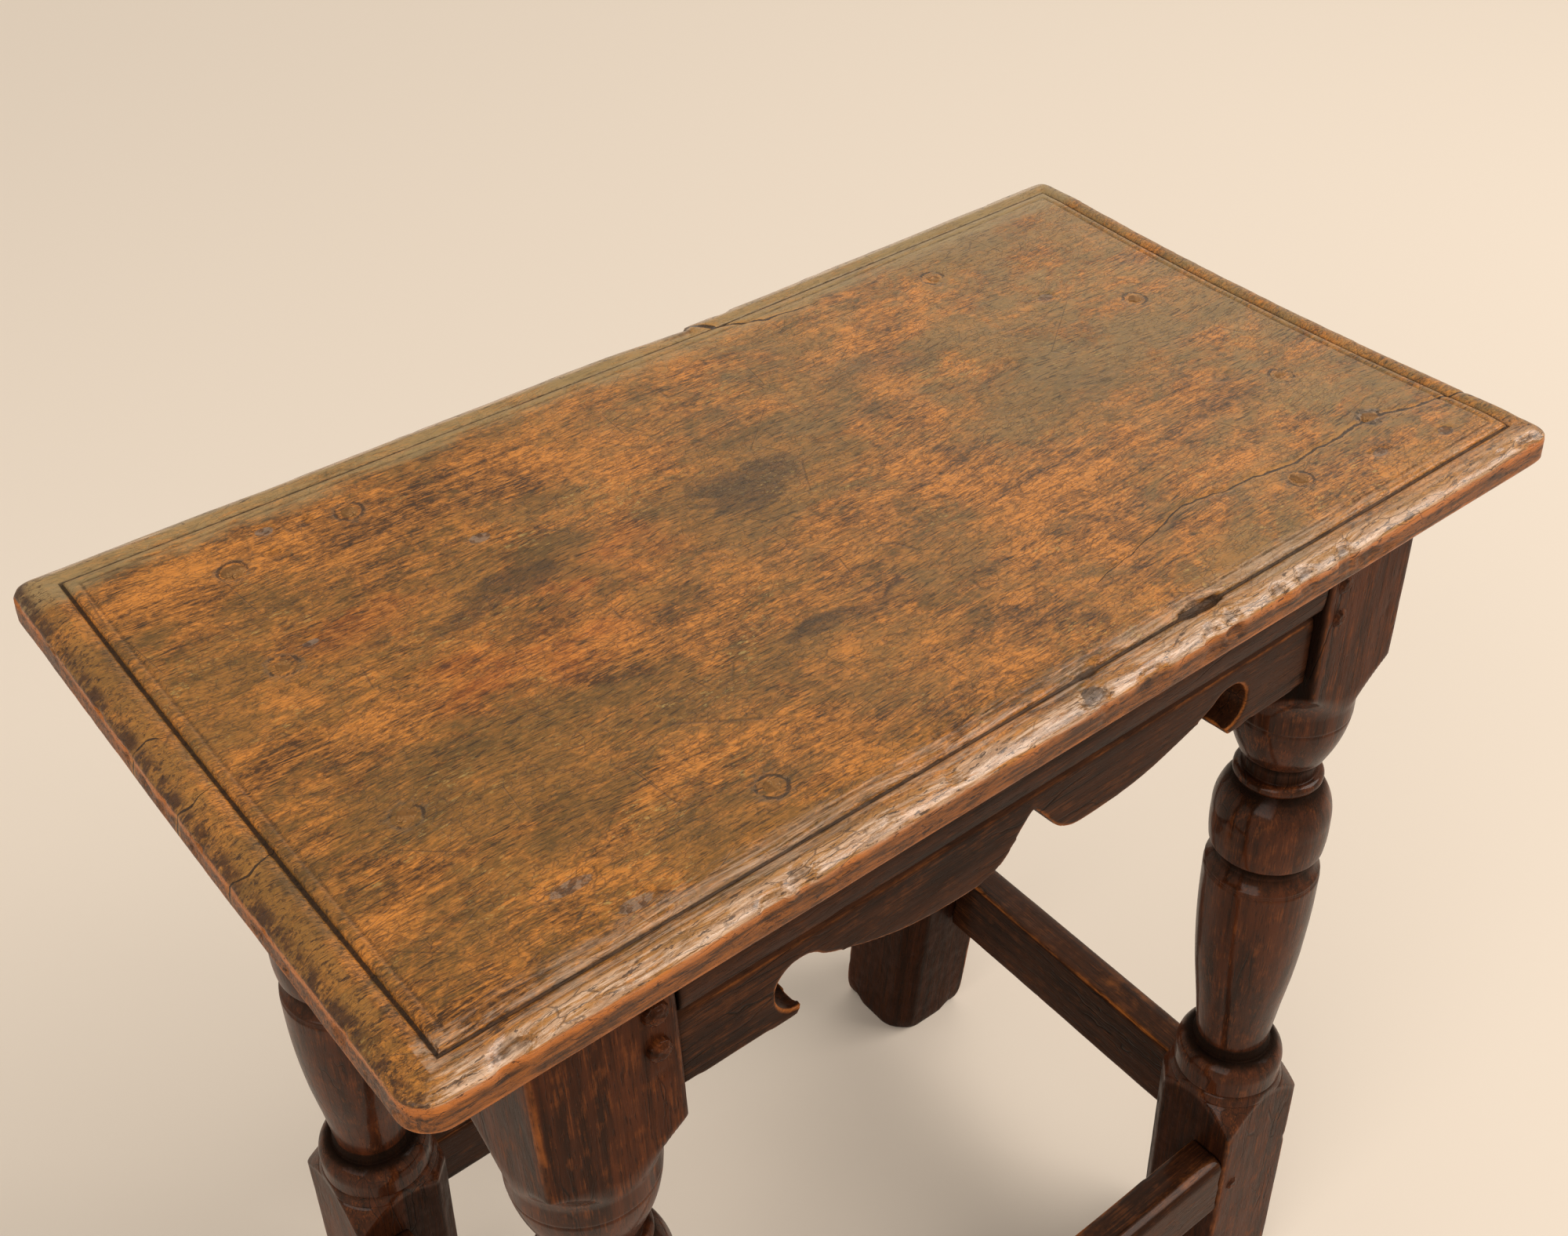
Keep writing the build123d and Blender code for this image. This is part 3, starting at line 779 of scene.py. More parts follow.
def spread(mesh: bpy.types.Mesh, values: Array, rounds: int) -> Array:
    """Even values out over neighbouring points.

    Args:
        mesh: The mesh.
        values: N numbers or N by 3 vectors.
        rounds: How many times.

    Returns:
        The evened values.
    """
    edges = np.empty(len(mesh.edges) * 2, np.int32)
    mesh.edges.foreach_get("vertices", edges)
    first, second = edges.reshape(-1, 2).T
    count = np.bincount(edges, minlength=len(values)).astype(float)
    columns = values.reshape(len(values), -1)
    for _ in range(rounds):
        totals = [
            np.bincount(first, columns[second, k], len(values))
            + np.bincount(second, columns[first, k], len(values))
            for k in range(columns.shape[1])
        ]
        columns = 0.5 * columns + 0.5 * np.stack(totals, axis=1) / count[:, None]
    return columns.reshape(values.shape)


def finish_piece(piece: bpy.types.Object, material: bpy.types.Material,
                 nodes: Sequence[str]) -> None:
    """Dress a piece and let it stand for its nodes.

    Args:
        piece: The piece.
        material: Its material.
        nodes: Names of the nodes it stands for.
    """
    piece.data.materials.clear()
    piece.data.materials.append(material)
    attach(piece, "root")
    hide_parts(*nodes)
    log.info("%s: %d faces, stands for %s", piece.name, len(piece.data.polygons), ", ".join(nodes))


class Side(Enum):
    """Front or back, as the sign of Y."""

    FRONT = -1
    BACK = 1


class End(Enum):
    """Left or right, as the sign of X."""

    LEFT = -1
    RIGHT = 1


# --- Legs ---------------------------------------------------------------------------------


class Cut(Enum):
    """How the turner goes from one point of a profile to the next."""

    STRAIGHT = "straight"
    ARC = "arc"
    SWELL = "swell"


@dataclass(frozen=True)
class Profile:
    """Outline of a turned leg as cuts through (drop, radius) points."""

    cuts: tuple[tuple[Cut, tuple[tuple[float, float], ...]], ...]
    pitch: float = 0.1

    @staticmethod
    def arc(start: Array, middle: Array, stop: Array, count: int) -> Array:
        """Points on the circle through three points, from the first to the last.

        Args:
            start: First point.
            middle: Point between.
            stop: Last point.
            count: Number of points.

        Returns:
            The points.
        """
        turn = np.cross(middle - start, stop - start)
        if abs(turn) < 1e-6:
            return start + np.linspace(0, 1, count)[:, None] * (stop - start)
        system = 2.0 * np.array([middle - start, stop - start])
        right = np.array([middle @ middle - start @ start, stop @ stop - start @ start])
        centre = np.linalg.solve(system, right)
        angles = [math.atan2(*(point - centre)[::-1]) for point in (start, middle, stop)]
        sense = 1.0 if turn > 0 else -1.0
        sweep = (sense * (angles[2] - angles[0])) % math.tau
        around = angles[0] + sense * np.linspace(0, sweep, count)
        radius = math.dist(start, centre)
        return centre + radius * np.stack([np.cos(around), np.sin(around)], axis=1)

    @staticmethod
    def swell(knots: Array, count: int) -> Array:
        """Points on a smooth curve through knots, which starts parallel to the axis.

        Args:
            knots: The knots.
            count: Number of points.

        Returns:
            The points.
        """
        slopes = np.gradient(knots[:, 1], knots[:, 0])
        slopes[0] = 0.0
        place = np.linspace(knots[0, 0], knots[-1, 0], count)
        index = np.clip(np.searchsorted(knots[:, 0], place) - 1, 0, len(knots) - 2)
        step = knots[index + 1, 0] - knots[index, 0]
        t = (place - knots[index, 0]) / step
        radius = (
            (1 + 2 * t) * (1 - t) ** 2 * knots[index, 1] + t * (1 - t) ** 2 * step * slopes[index]
            + t * t * (3 - 2 * t) * knots[index + 1, 1] + t * t * (t - 1) * step * slopes[index + 1]
        )
        return np.stack([place, radius], axis=1)

    def outline(self) -> Array:
        """Trace the whole profile.

        Returns:
            Closely spaced (drop, radius) points in order.
        """
        parts = []
        for cut, given in self.cuts:
            knots = np.array(given, float)
            if cut is Cut.STRAIGHT:
                for start, stop in zip(knots[:-1], knots[1:]):
                    count = max(2, int(math.dist(start, stop) / self.pitch))
                    parts.append(start + np.linspace(0, 1, count)[:, None] * (stop - start))
                continue
            count = max(4, int(math.dist(knots[0], knots[-1]) / self.pitch))
            parts.append(self.arc(*knots, count) if cut is Cut.ARC else self.swell(knots, count))
        return np.concatenate(parts)


LEG_PROFILE = Profile((
    (Cut.STRAIGHT, ((-2.0, 35.65), (71.6, 35.65))),
    (Cut.ARC, ((71.6, 35.65), (79.5, 28.2), (89.9, 24.3))),
    (Cut.STRAIGHT, ((89.9, 24.3), (97.5, 24.3), (98.1, 23.6), (98.7, 24.1))),
    (Cut.ARC, ((98.7, 24.1), (109.3, 22.03), (119.9, 18.0))),
    (Cut.STRAIGHT, ((119.9, 18.0), (121.0, 17.7), (121.0, 15.1), (130.2, 15.1), (130.2, 16.1))),
    (Cut.ARC, ((130.2, 16.1), (132.8, 18.4), (135.4, 16.7))),
    (Cut.ARC, ((135.4, 16.7), (143.3, 22.1), (155.1, 24.3))),
    (Cut.ARC, ((155.1, 24.3), (164.0, 24.3), (171.2, 23.6))),
    (Cut.STRAIGHT, ((171.2, 23.6), (172.5, 19.8))),
    (Cut.ARC, ((172.5, 19.8), (177.45, 20.6), (183.7, 24.2))),
    (Cut.STRAIGHT, ((183.7, 24.2), (184.3, 23.6), (184.9, 24.3), (185.5, 23.6), (186.1, 24.3))),
    (Cut.SWELL, ((186.1, 24.3), (212.8, 24.0), (243.7, 21.9), (268.0, 18.9), (289.0, 16.6))),
    (Cut.STRAIGHT, ((289.0, 16.6), (291.9, 17.6), (293.8, 17.6), (293.8, 19.3))),
    (Cut.ARC, ((293.8, 19.3), (297.6, 23.0), (303.4, 24.4))),
    (Cut.STRAIGHT, ((303.4, 24.4), (311.0, 24.3), (311.6, 23.6), (312.2, 24.4), (316.0, 25.9),
                    (316.6, 25.2), (317.2, 26.2), (330.5, 35.65), (476.0, 35.65))),
))


@dataclass
class TurnedLeg:
    """A raked leg: square blocks joined by turned mouldings.

    Attributes:
        side: Front or back.
        end: Left or right.
        length: Length along the axis.
        columns: Points around the leg.
        arris: Roundness of the square's corners, as the power of its outline.
        chamfer: Distance from the axis to the flat on the foot's inner corner.
        levelled: Reach over which the level cuts at the ends are taken up.
    """

    side: Side
    end: End
    length: float = 473.19
    columns: int = 128
    arris: float = 26.0
    chamfer: float = 28.3
    levelled: float = 40.0

    SAMPLE = 0.1
    BLUR_REACH, BLUR_WIDTH = 12, 3.2
    FINE_ZONES = ((70, 190), (286, 334))
    FINE_PITCH, COARSE_PITCH = 0.58, 1.7
    CREST_REACH = 6.0
    CHAMFER_FROM = 300.0
    FAR_AWAY = 99.0
    APRON_FOOT = (112.0, 92.0)
    GRAIN_SHIFT = (0.71, 0.13, 0.29)

    @property
    def node(self) -> str:
        """Name of the leg's node."""
        return f"leg_{self.side.name.lower()}_{self.end.name.lower()}"

    def rows(self) -> tuple[Array, Array, Array]:
        """Choose the rows of the mesh.

        Returns:
            Drop and radius of each row, and how deep it lies in the mouldings.
        """
        outline = LEG_PROFILE.outline()
        along = np.concatenate([[0.0], np.cumsum(np.hypot(*np.diff(outline, axis=0).T))])
        even = np.arange(0.0, along[-1], self.SAMPLE)
        drop = np.interp(even, along, outline[:, 0])
        radius = np.interp(even, along, outline[:, 1])
        reach = np.arange(-self.BLUR_REACH, self.BLUR_REACH + 1)
        kernel = np.exp(-0.5 * (reach / self.BLUR_WIDTH) ** 2)
        kernel /= kernel.sum()
        radius = np.convolve(np.pad(radius, self.BLUR_REACH, mode="edge"), kernel, mode="valid")
        fine = np.any([(drop > top) & (drop < foot) for top, foot in self.FINE_ZONES], axis=0)
        pace = np.where(fine, self.FINE_PITCH, self.COARSE_PITCH)
        steps = np.concatenate([[0.0], np.cumsum(self.SAMPLE / pace)[:-1]])
        chosen = np.interp(np.arange(0, int(steps[-1]) + 1), steps, even)
        drop, radius = np.interp(chosen, even, drop), np.interp(chosen, even, radius)
        keep = (drop >= 0.0) & (drop <= self.length)
        drop, radius = drop[keep], radius[keep]
        drop[0], drop[-1] = 0.0, self.length
        capped = np.minimum(radius, LEG_HALF + 2.0)
        near = np.abs(drop[:, None] - drop[None, :]) < self.CREST_REACH
        crest = np.where(near, capped[None, :], -1.0).max(axis=1)
        return drop, radius, crest - capped

    def build(self, material: bpy.types.Material) -> bpy.types.Object:
        """Build and dress the leg.

        Args:
            material: Its material.

        Returns:
            The leg.
        """
        seed = 11 + 3 * self.side.value + self.end.value
        lattice = Lattice(seed)
        drop, turned, recess = self.rows()
        turn = np.arange(self.columns) * math.tau / self.columns
        angle = turn + 0.12 * np.sin(4 * turn)
        s, theta = np.meshgrid(drop, angle, indexing="ij")
        cosine, sine = np.cos(theta), np.sin(theta)
        where = np.stack([s.ravel(), 30 * cosine.ravel(), 30 * sine.ravel()], axis=1)

        worn = lattice.layered(where, (55, 30, 30)).reshape(s.shape)
        power = self.arris * (1.0 + 0.45 * worn)
        square = LEG_HALF / (np.abs(cosine) ** power + np.abs(sine) ** power) ** (1.0 / power)
        towards = math.atan2(-self.side.value, -self.end.value)
        facing = np.cos(theta - towards)
        flat = np.where(facing > 0.3, self.chamfer / np.maximum(facing, 0.3), self.FAR_AWAY)
        square = np.where(s > self.CHAMFER_FROM, soft_min(square, flat, 1.0), square)
        round_part = np.repeat(turned[:, None], self.columns, axis=1)
        radius = soft_min(square, round_part, 0.5)

        # Hand work and age: undulation, small dents, and feet worn at their corners.
        corner = smoothstep(25.5, 31.0, square)
        arris = smoothstep(32.5, 33.6, square)
        blocks = smoothstep(0.2, 3.0, round_part - radius)
        sway = lattice.layered(where, (90, 34, 34), 2).reshape(s.shape)
        small = lattice.layered(where, (14, 7, 7), 3, 90.0).reshape(s.shape)
        chips = lattice.layered(where, (9, 6, 6), 2, 410.0).reshape(s.shape)
        chips = smoothstep(0.45, 0.8, chips)
        foot = np.exp(-(self.length - s) / 5.0)
        cut = 0.22 * (1 + sway) + 0.09 * (1 + small) + blocks * corner * chips * 0.9
        cut += foot * (1.0 + 2.6 * corner) * (0.9 + 0.6 * worn)
        radius = radius - cut

        head = np.array([self.end.value * LEG_AXIS[0], self.side.value * LEG_AXIS[1], FRAME_TOP])
        down = np.array([0.0, self.side.value * math.sin(LEAN), -math.cos(LEAN)])
        across = np.array([0.0, math.cos(LEAN), self.side.value * math.sin(LEAN)])
        level = smoothstep(self.levelled, 0.0, s) + smoothstep(self.length - self.levelled,
                                                               self.length, s)
        run = s + radius * sine * self.side.value * math.tan(LEAN) * level
        points = head + run[..., None] * down
        points = points + (radius * cosine)[..., None] * np.array([1.0, 0, 0])
        points = (points + (radius * sine)[..., None] * across).reshape(-1, 3)
        points[: self.columns, 2] = FRAME_TOP - HEAD_GAP
        points[-self.columns:, 2] = SOLE_GAP

        index = np.arange(s.size).reshape(s.shape)
        beside = np.roll(index, -1, axis=1)
        quads = np.stack([index[:-1], index[1:], beside[1:], beside[:-1]], axis=-1).reshape(-1, 4)
        leg = mesh_object(f"turned_{self.node}", points, quads, [index[0], index[-1][::-1]])

        rim = smoothstep(0.5, 0.05, recess)[:, None] * (1.0 - blocks)
        steep = np.abs(np.gradient(turned)) / np.hypot(np.gradient(turned), np.gradient(drop))
        crests = rim * smoothstep(0.6, 0.1, steep)[:, None] * (0.4 + 0.6 * worn)
        facing = np.maximum(-self.end.value * cosine, -self.side.value * sine)
        inward = smoothstep(0.66, 0.73, facing)
        apron = smoothstep(*self.APRON_FOOT, s)
        wear = blocks * arris * (0.5 + 0.7 * worn) * (1.0 - 0.85 * apron * inward) + 0.3 * crests
        hollows = np.repeat(smoothstep(0.6, 5.0, recess)[:, None], self.columns, axis=1)
        grime = hollows * (1 - blocks) * 0.9 + 0.5 * np.exp(-s / 5.0)
        grime = grime + (0.5 + 0.4 * apron) * inward * blocks
        grain = np.stack([s, radius * cosine, radius * sine], axis=-1).reshape(-1, 3) * MM
        write_attributes(
            leg.data,
            grain=grain + seed * np.array(self.GRAIN_SHIFT),
            wear=np.clip(wear, 0, 1).ravel(),
            grime=np.clip(grime, 0, 1).ravel(),
            polish=1.0 - 0.85 * blocks.ravel(),
        )
        finish_piece(leg, material, [self.node])
        return leg


# --- Plank top ----------------------------------------------------------------------------


@dataclass(frozen=True)
class Dent:
    """A pit or knock in the plank: place, half length, half width and depth in millimetres."""

    x: float
    y: float
    length: float
    width: float
    depth: float


@dataclass(frozen=True)
class Crack:
    """A crack through (x, y) points, with its half width at each of them."""

    points: tuple[tuple[float, float], ...]
    widths: tuple[float, ...]

    def reach(self, x: Array, y: Array) -> tuple[Array, Array]:
        """Measure how far places lie from the crack.

        Args:
            x: Places along the plank.
            y: Places across it.

        Returns:
            Distance from the crack's middle, signed by the side, and its half width there.
        """
        gaps, widths = np.full(len(x), 99.0), np.ones(len(x))
        ends = zip(self.points[:-1], self.points[1:], self.widths[:-1], self.widths[1:])
        for start, stop, width_start, width_stop in ends:
            run = np.subtract(stop, start)
            arm_x, arm_y = x - start[0], y - start[1]
            along = np.clip((arm_x * run[0] + arm_y * run[1]) / (run @ run), 0, 1)
            gap = np.hypot(arm_x - along * run[0], arm_y - along * run[1])
            nearer = gap < np.abs(gaps)
            side = np.where(run[0] * arm_y - run[1] * arm_x > 0, 1.0, -1.0)
            side = side * math.copysign(1, run[0])
            gaps = np.where(nearer, gap * side, gaps)
            widths = np.where(nearer, width_start + along * (width_stop - width_start), widths)
        return gaps, widths


@dataclass(frozen=True)
class Ring:
    """One ring of the plank's mesh.

    Attributes:
        insets: How far it lies in from the left, right, front and back edges.
        rounding: Share of the corners' rounding.
        height: Height above the seat.
        nose: Place on the section: 0 field, 0.5 foot of the thumb, 0.75 lower arris, 1 underside.
    """

    insets: tuple[float, float, float, float]
    rounding: float
    height: float
    nose: float


@dataclass
class PlankTop:
    """The thumb-moulded plank with its groove, nose and marks of use.

    Attributes:
        half_length: From the middle to either end.
        front: Place of the front edge.
        back: Place of the back edge at its left part.
        bend: Where the back edge starts to run out.
        flare: How far it runs out at the right end.
        noses: Widths of the nose at the left, right, front and back.
        corners: Rounding of the front left, front right, back left and back right corners.
        thickness: Depth of the plank.
        edge: Height of the edge above the bevel.
        arris: Drop of the thumb moulding.
        bevel: Width of the bevel underneath.
        groove: Width of the groove.
        inset: From the groove's inner side to the field's own mesh.
        cup: How deep the old plank is hollow across its width.
        dents: Its pits and knocks.
        cracks: Its cracks.
        pegs: Places of the pegs.
    """

    half_length: float = 228.35
    front: float = -125.0
    back: float = 123.8
    bend: float = 35.0
    flare: float = 4.8
    noses: tuple[float, float, float, float] = (10.5, 7.2, 8.6, 7.1)
    corners: tuple[float, float, float, float] = (10.5, 6.0, 7.0, 8.5)
    thickness: float = 23.0
    edge: float = 13.0
    arris: float = 5.0
    bevel: float = 7.5
    groove: float = 4.6
    inset: float = 5.4
    cup: float = 2.6
    dents: tuple[Dent, ...] = ()
    cracks: tuple[Crack, ...] = ()
    pegs: tuple[tuple[float, float], ...] = ()

    # Distance outward from the groove's inner side and height: scribed line, bead, groove.
    GROOVE = (
        (-5.0, -0.14), (-4.6, -0.24), (-4.25, -0.42), (-3.9, -0.5), (-3.5, -0.38), (-3.0, -0.2),
        (-2.3, -0.1), (-1.6, -0.14), (-1.0, -0.26), (-0.5, -0.48), (-0.1, -0.8), (0.15, -1.2),
        (0.35, -1.7), (0.6, -1.95), (0.9, -1.75), (1.3, -1.3), (1.9, -0.98), (2.7, -0.7),
        (3.6, -0.46), (4.6, -0.25),
    )
    THUMB_RINGS, SIDE_RINGS, BEVEL_RINGS = 18, 7, 7
    UNDER_INSETS = (9.5, 13.0, 18.0, 25.0, 36.0, 52.0, 75.0)
    COLUMNS, FRONT_ROWS, BACK_ROWS, FRONT_SHARE = 291, 47, 105, 0.2
    FIELD_DIP, FRONT_DIP, STEP_DIP = 0.14, 0.55, 1.1
    CUP_REACH, NO_CRACK, PEG_REACH = 106.0, 12.0, 20.0

    def sag(self, y: Array) -> Array:
        """Find how far the cupped surface lies below its long edges.

        Args:
            y: Places across the plank.

        Returns:
            The sag in millimetres.
        """
        return self.cup * np.clip(1.0 - (np.asarray(y) / self.CUP_REACH) ** 2, 0.0, 1.0)

    def rings(self) -> list[Ring]:
        """Lay out the rings from the field to the middle of the underside.

        Returns:
            The rings in order.
        """
        rings = []
        for outward, height in self.GROOVE:
            insets = tuple(nose + self.groove - outward for nose in self.noses)
            rings.append(Ring(insets, 0.0, height, 0.0))
        for k in range(1, self.THUMB_RINGS + 1):
            swing = k / self.THUMB_RINGS * math.pi / 2
            insets = tuple(nose * (1 - math.sin(swing)) for nose in self.noses)
            drop = self.arris * (1 - math.cos(swing)) + 0.25 * math.cos(swing)
            nose = 0.05 + 0.45 * k / self.THUMB_RINGS
            rings.append(Ring(insets, math.sin(swing), -drop, nose))
        steps = []
        straight = self.edge - self.arris - 0.9
        for k in range(1, self.SIDE_RINGS + 1):
            height = -self.arris - straight * k / self.SIDE_RINGS
            steps.append((0.0, height, 0.5 + 0.22 * k / self.SIDE_RINGS))
        steps += [(0.25, -self.edge + 0.3, 0.74), (0.7, -self.edge - 0.5, 0.76)]
        slope = self.thickness - self.edge
        for k in range(1, self.BEVEL_RINGS + 1):
            height = -self.edge - 0.5 - (slope - 0.5) * k / self.BEVEL_RINGS
            inset = 0.7 + (self.bevel - 0.7) * k / self.BEVEL_RINGS
            steps.append((inset, height, 0.78 + 0.16 * k / self.BEVEL_RINGS))
        rings += [Ring((inset,) * 4, 1.0, height, nose) for inset, height, nose in steps]
        for inset in self.UNDER_INSETS:
            rounding = max(0.0, 1.0 - (inset - self.bevel) / 12.0)
            rings.append(Ring((inset,) * 4, rounding, -self.thickness, 1.0))
        return rings

    def place(self, u: Array, v: Array, ring: Ring) -> Array:
        """Place shares of the plank's length and width on a ring's outline.

        Args:
            u: Share of the length, from the left.
            v: Share of the width, from the front.
            ring: The ring.

        Returns:
            N by 3 points.
        """
        left, right = -self.half_length + ring.insets[0], self.half_length - ring.insets[1]
        front = self.front + ring.insets[2]
        x = left + (right - left) * u
        run = np.clip((x - self.bend) / (right - self.bend), 0.0, 1.0)
        back = self.back + self.flare * run - ring.insets[3]
        y = front + (back - front) * v
        radii = np.array(self.corners) * ring.rounding
        radius = radii[(v > 0.5).astype(int) * 2 + (u > 0.5).astype(int)]
        centre_x = np.where(u > 0.5, right - radius, left + radius)
        centre_y = np.where(v > 0.5, back - radius, front + radius)
        arm_x, arm_y = x - centre_x, y - centre_y
        outside = (arm_x * np.sign(u - 0.5) > 0) & (arm_y * np.sign(v - 0.5) > 0) & (radius > 0.01)
        scale = radius / np.maximum(np.hypot(arm_x, arm_y), 1e-6)
        x = np.where(outside, centre_x + arm_x * scale, x)
        y = np.where(outside, centre_y + arm_y * scale, y)
        return np.stack([x, y, np.full(len(x), SEAT_TOP + ring.height)], axis=1)

    def relief(self, points: Array, nose: Array, seam: Array, lattice: Lattice) -> Array:
        """Depth of wear, knocks and cracks below the sharp plank.

        Args:
            points: N by 3 points.
            nose: Place on the section of each.
            seam: Distance from the nearest crack.
            lattice: The noise.

        Returns:
            Distance inward along the normal, in millimetres.
        """
        x, y = points[:, 0], points[:, 1]
        top = smoothstep(0.7, 0.45, nose)
        thumb = bell(0.08, 0.3, 0.6, 0.82, nose)
        ragged = bell(0.34, 0.46, 0.5, 0.62, nose)
        rough = (
            (0.14, (75, 45, 45), 2, 0.0), (0.06, (13, 7, 7), 3, 50.0),
            (thumb * 0.35, (34, 22, 22), 3, 200.0), (ragged * 0.42, (11, 7, 7), 3, 120.0),
            (thumb * 0.14, (6, 3, 3), 2, 7.0),
        )
        depth = np.zeros(len(points))
        for amount, cell, layers, shift in rough:
            depth += amount * (1 + lattice.layered(points, cell, layers, shift))
        chips = smoothstep(0.36, 0.66, lattice.layered(points, (12, 6, 6), 3, 300.0))
        depth += thumb * chips * (0.7 + 0.9 * smoothstep(-40.0, 60.0, x))
        fray = 0.45 * lattice.layered(points, (5, 4, 4), 3, 33.0)
        for dent in self.dents:
            reach = np.hypot((x - dent.x) / dent.length, (y - dent.y) / dent.width) + fray
            depth += top * dent.depth * smoothstep(1.25, 0.7, reach)
        for peg_x, peg_y in self.pegs:
            reach = np.hypot(x - peg_x, y - peg_y)
            depth += top * 0.12 * smoothstep(7.5, 4.6, reach + 1.5 * fray)
        depth += top * 0.4 * smoothstep(2.2, 0.0, seam)
        near_step = smoothstep(-8.0, 30.0, x) * (x < 30.0) * smoothstep(112.0, 117.0, y)
        return depth + self.STEP_DIP * near_step * smoothstep(0.9, 0.7, nose)

    def sheet(self) -> tuple[Array, Array, Array, list[Array]]:
        """Lay out the whole plank as a field inside rings.

        Returns:
            Its points, their place on the section, its quads and the face that closes it.
        """
        us = np.linspace(0.0, 1.0, self.COLUMNS)
        vs = np.concatenate([np.linspace(0.0, self.FRONT_SHARE, self.FRONT_ROWS)[:-1],
                             np.linspace(self.FRONT_SHARE, 1.0, self.BACK_ROWS)])
        u, v = (part.ravel() for part in np.meshgrid(us, vs, indexing="ij"))
        total = len(u)
        index = np.arange(total).reshape(len(us), len(vs))
        cells = [index[:-1, :-1], index[1:, :-1], index[1:, 1:], index[:-1, 1:]]
        border = np.concatenate([index[:-1, 0], index[-1, :-1], index[:0:-1, -1], index[0, :0:-1]])
        field = self.place(u, v, self.inner_ring(self.inset))
        margin = np.minimum(np.minimum(u, 1 - u) * 2 * self.half_length,
                            np.minimum(v, 1 - v) * (self.back - self.front))
        field[:, 2] -= self.FIELD_DIP * smoothstep(14.0, 0.0, margin)
        parts, noses, last = [field], [np.zeros(total)], border
        quads = [np.stack(cells, axis=-1).reshape(-1, 4)]
        for ring in self.rings():
            parts.append(self.place(u[border], v[border], ring))
            noses.append(np.full(len(border), ring.nose))
            here = np.arange(len(border)) + total
            total += len(border)
            quads.append(np.stack([last, here, np.roll(here, -1), np.roll(last, -1)], axis=-1))
            last = here
        joined = (np.concatenate(part) for part in (parts, noses, quads))
        return *joined, [last[::-1]]

    def inner_ring(self, inset: float = 0.0) -> Ring:
        """Ring along the groove's inner side, or further in by the inset."""
        return Ring(tuple(nose + self.groove + inset for nose in self.noses), 0.0, 0.0, 0.0)

    def outward(self, x: Array, y: Array) -> tuple[Array, Array]:
        """Measure how far places lie outside the groove's inner side.

        Args:
            x: Places along the plank.
            y: Places across it.

        Returns:
            The distances past its ends and past its long sides.
        """
        inner, us = self.inner_ring(), np.linspace(0.0, 1.0, self.COLUMNS)
        front_line, back_line = (self.place(us, np.full(len(us), v), inner) for v in (0.0, 1.0))
        back_at = np.interp(x, back_line[:, 0], back_line[:, 1])
        past_ends = np.maximum(front_line[0, 0] - x, x - front_line[-1, 0])
        return past_ends, np.maximum(front_line[0, 1] - y, y - back_at)

    def build(self, material: bpy.types.Material) -> bpy.types.Object:
        """Build and dress the plank.

        Args:
            material: Its material.

        Returns:
            The plank.
        """
        lattice = Lattice(5)
        points, nose, quads, caps = self.sheet()
        plank = mesh_object("plank_top", points, quads, caps)

        x, y = points[:, 0], points[:, 1]
        wander = 0.8 * lattice.at(points, (9, 900, 900)) + 0.7 * lattice.at(points, (3.1, 900, 900))
        seam, gape = np.full(len(x), self.NO_CRACK), np.ones(len(x))
        for crack in self.cracks:
            gaps, widths = crack.reach(x, y + wander)
            seam, gape = (np.where(np.abs(gaps) < np.abs(seam), *pair)
                          for pair in ((gaps, seam), (widths, gape)))
        depth = self.relief(points, nose, np.abs(seam), lattice)
        cut = normals_of(plank.data) * depth[:, None] * smoothstep(1.0, 0.9, nose)[:, None]
        moved = points - cut
        moved[:, 2] -= self.sag(y) * smoothstep(1.0, 0.45, nose)
        front_dip = smoothstep(-101.0, -111.0, y) * smoothstep(0.4, 0.0, nose)
        moved[:, 2] -= self.FRONT_DIP * front_dip
        write_points(plank.data, moved)

        past_ends, past_sides = self.outward(x, y)
        outward = np.maximum(past_ends, past_sides)
        sunk = -np.interp(outward, *np.transpose(self.GROOVE), left=0.0, right=0.0)
        grime = smoothstep(1.05, 1.8, sunk) + 0.45 * smoothstep(0.18, 0.5, sunk) * (outward < -3.0)
        grime = np.where(nose < 0.01, grime, 0.0)
        grime += 0.5 * smoothstep(0.5, 1.3, depth) * (nose < 0.3)
        grime += smoothstep(0.80, 1.0, nose) * 0.45
        wear = bell(0.34, 0.44, 0.50, 0.60, nose) + 0.7 * bell(0.68, 0.73, 0.76, 0.80, nose)
        wear *= 0.75 + 0.5 * lattice.layered(points, (40, 30, 30), 3)
        reach = np.min([np.hypot(x - peg_x, y - peg_y) for peg_x, peg_y in self.pegs], axis=0)
        write_attributes(
            plank.data, grime=np.clip(grime, 0, 1), wear=np.clip(wear, 0, 1), nose=nose,
            end=smoothstep(-4.0, 2.0, past_ends - past_sides), seam=seam, gape=gape,
            peg=np.minimum(reach, self.PEG_REACH),
        )
        finish_piece(plank, material, ["top_board"])
        return plank


# --- Rails --------------------------------------------------------------------------------


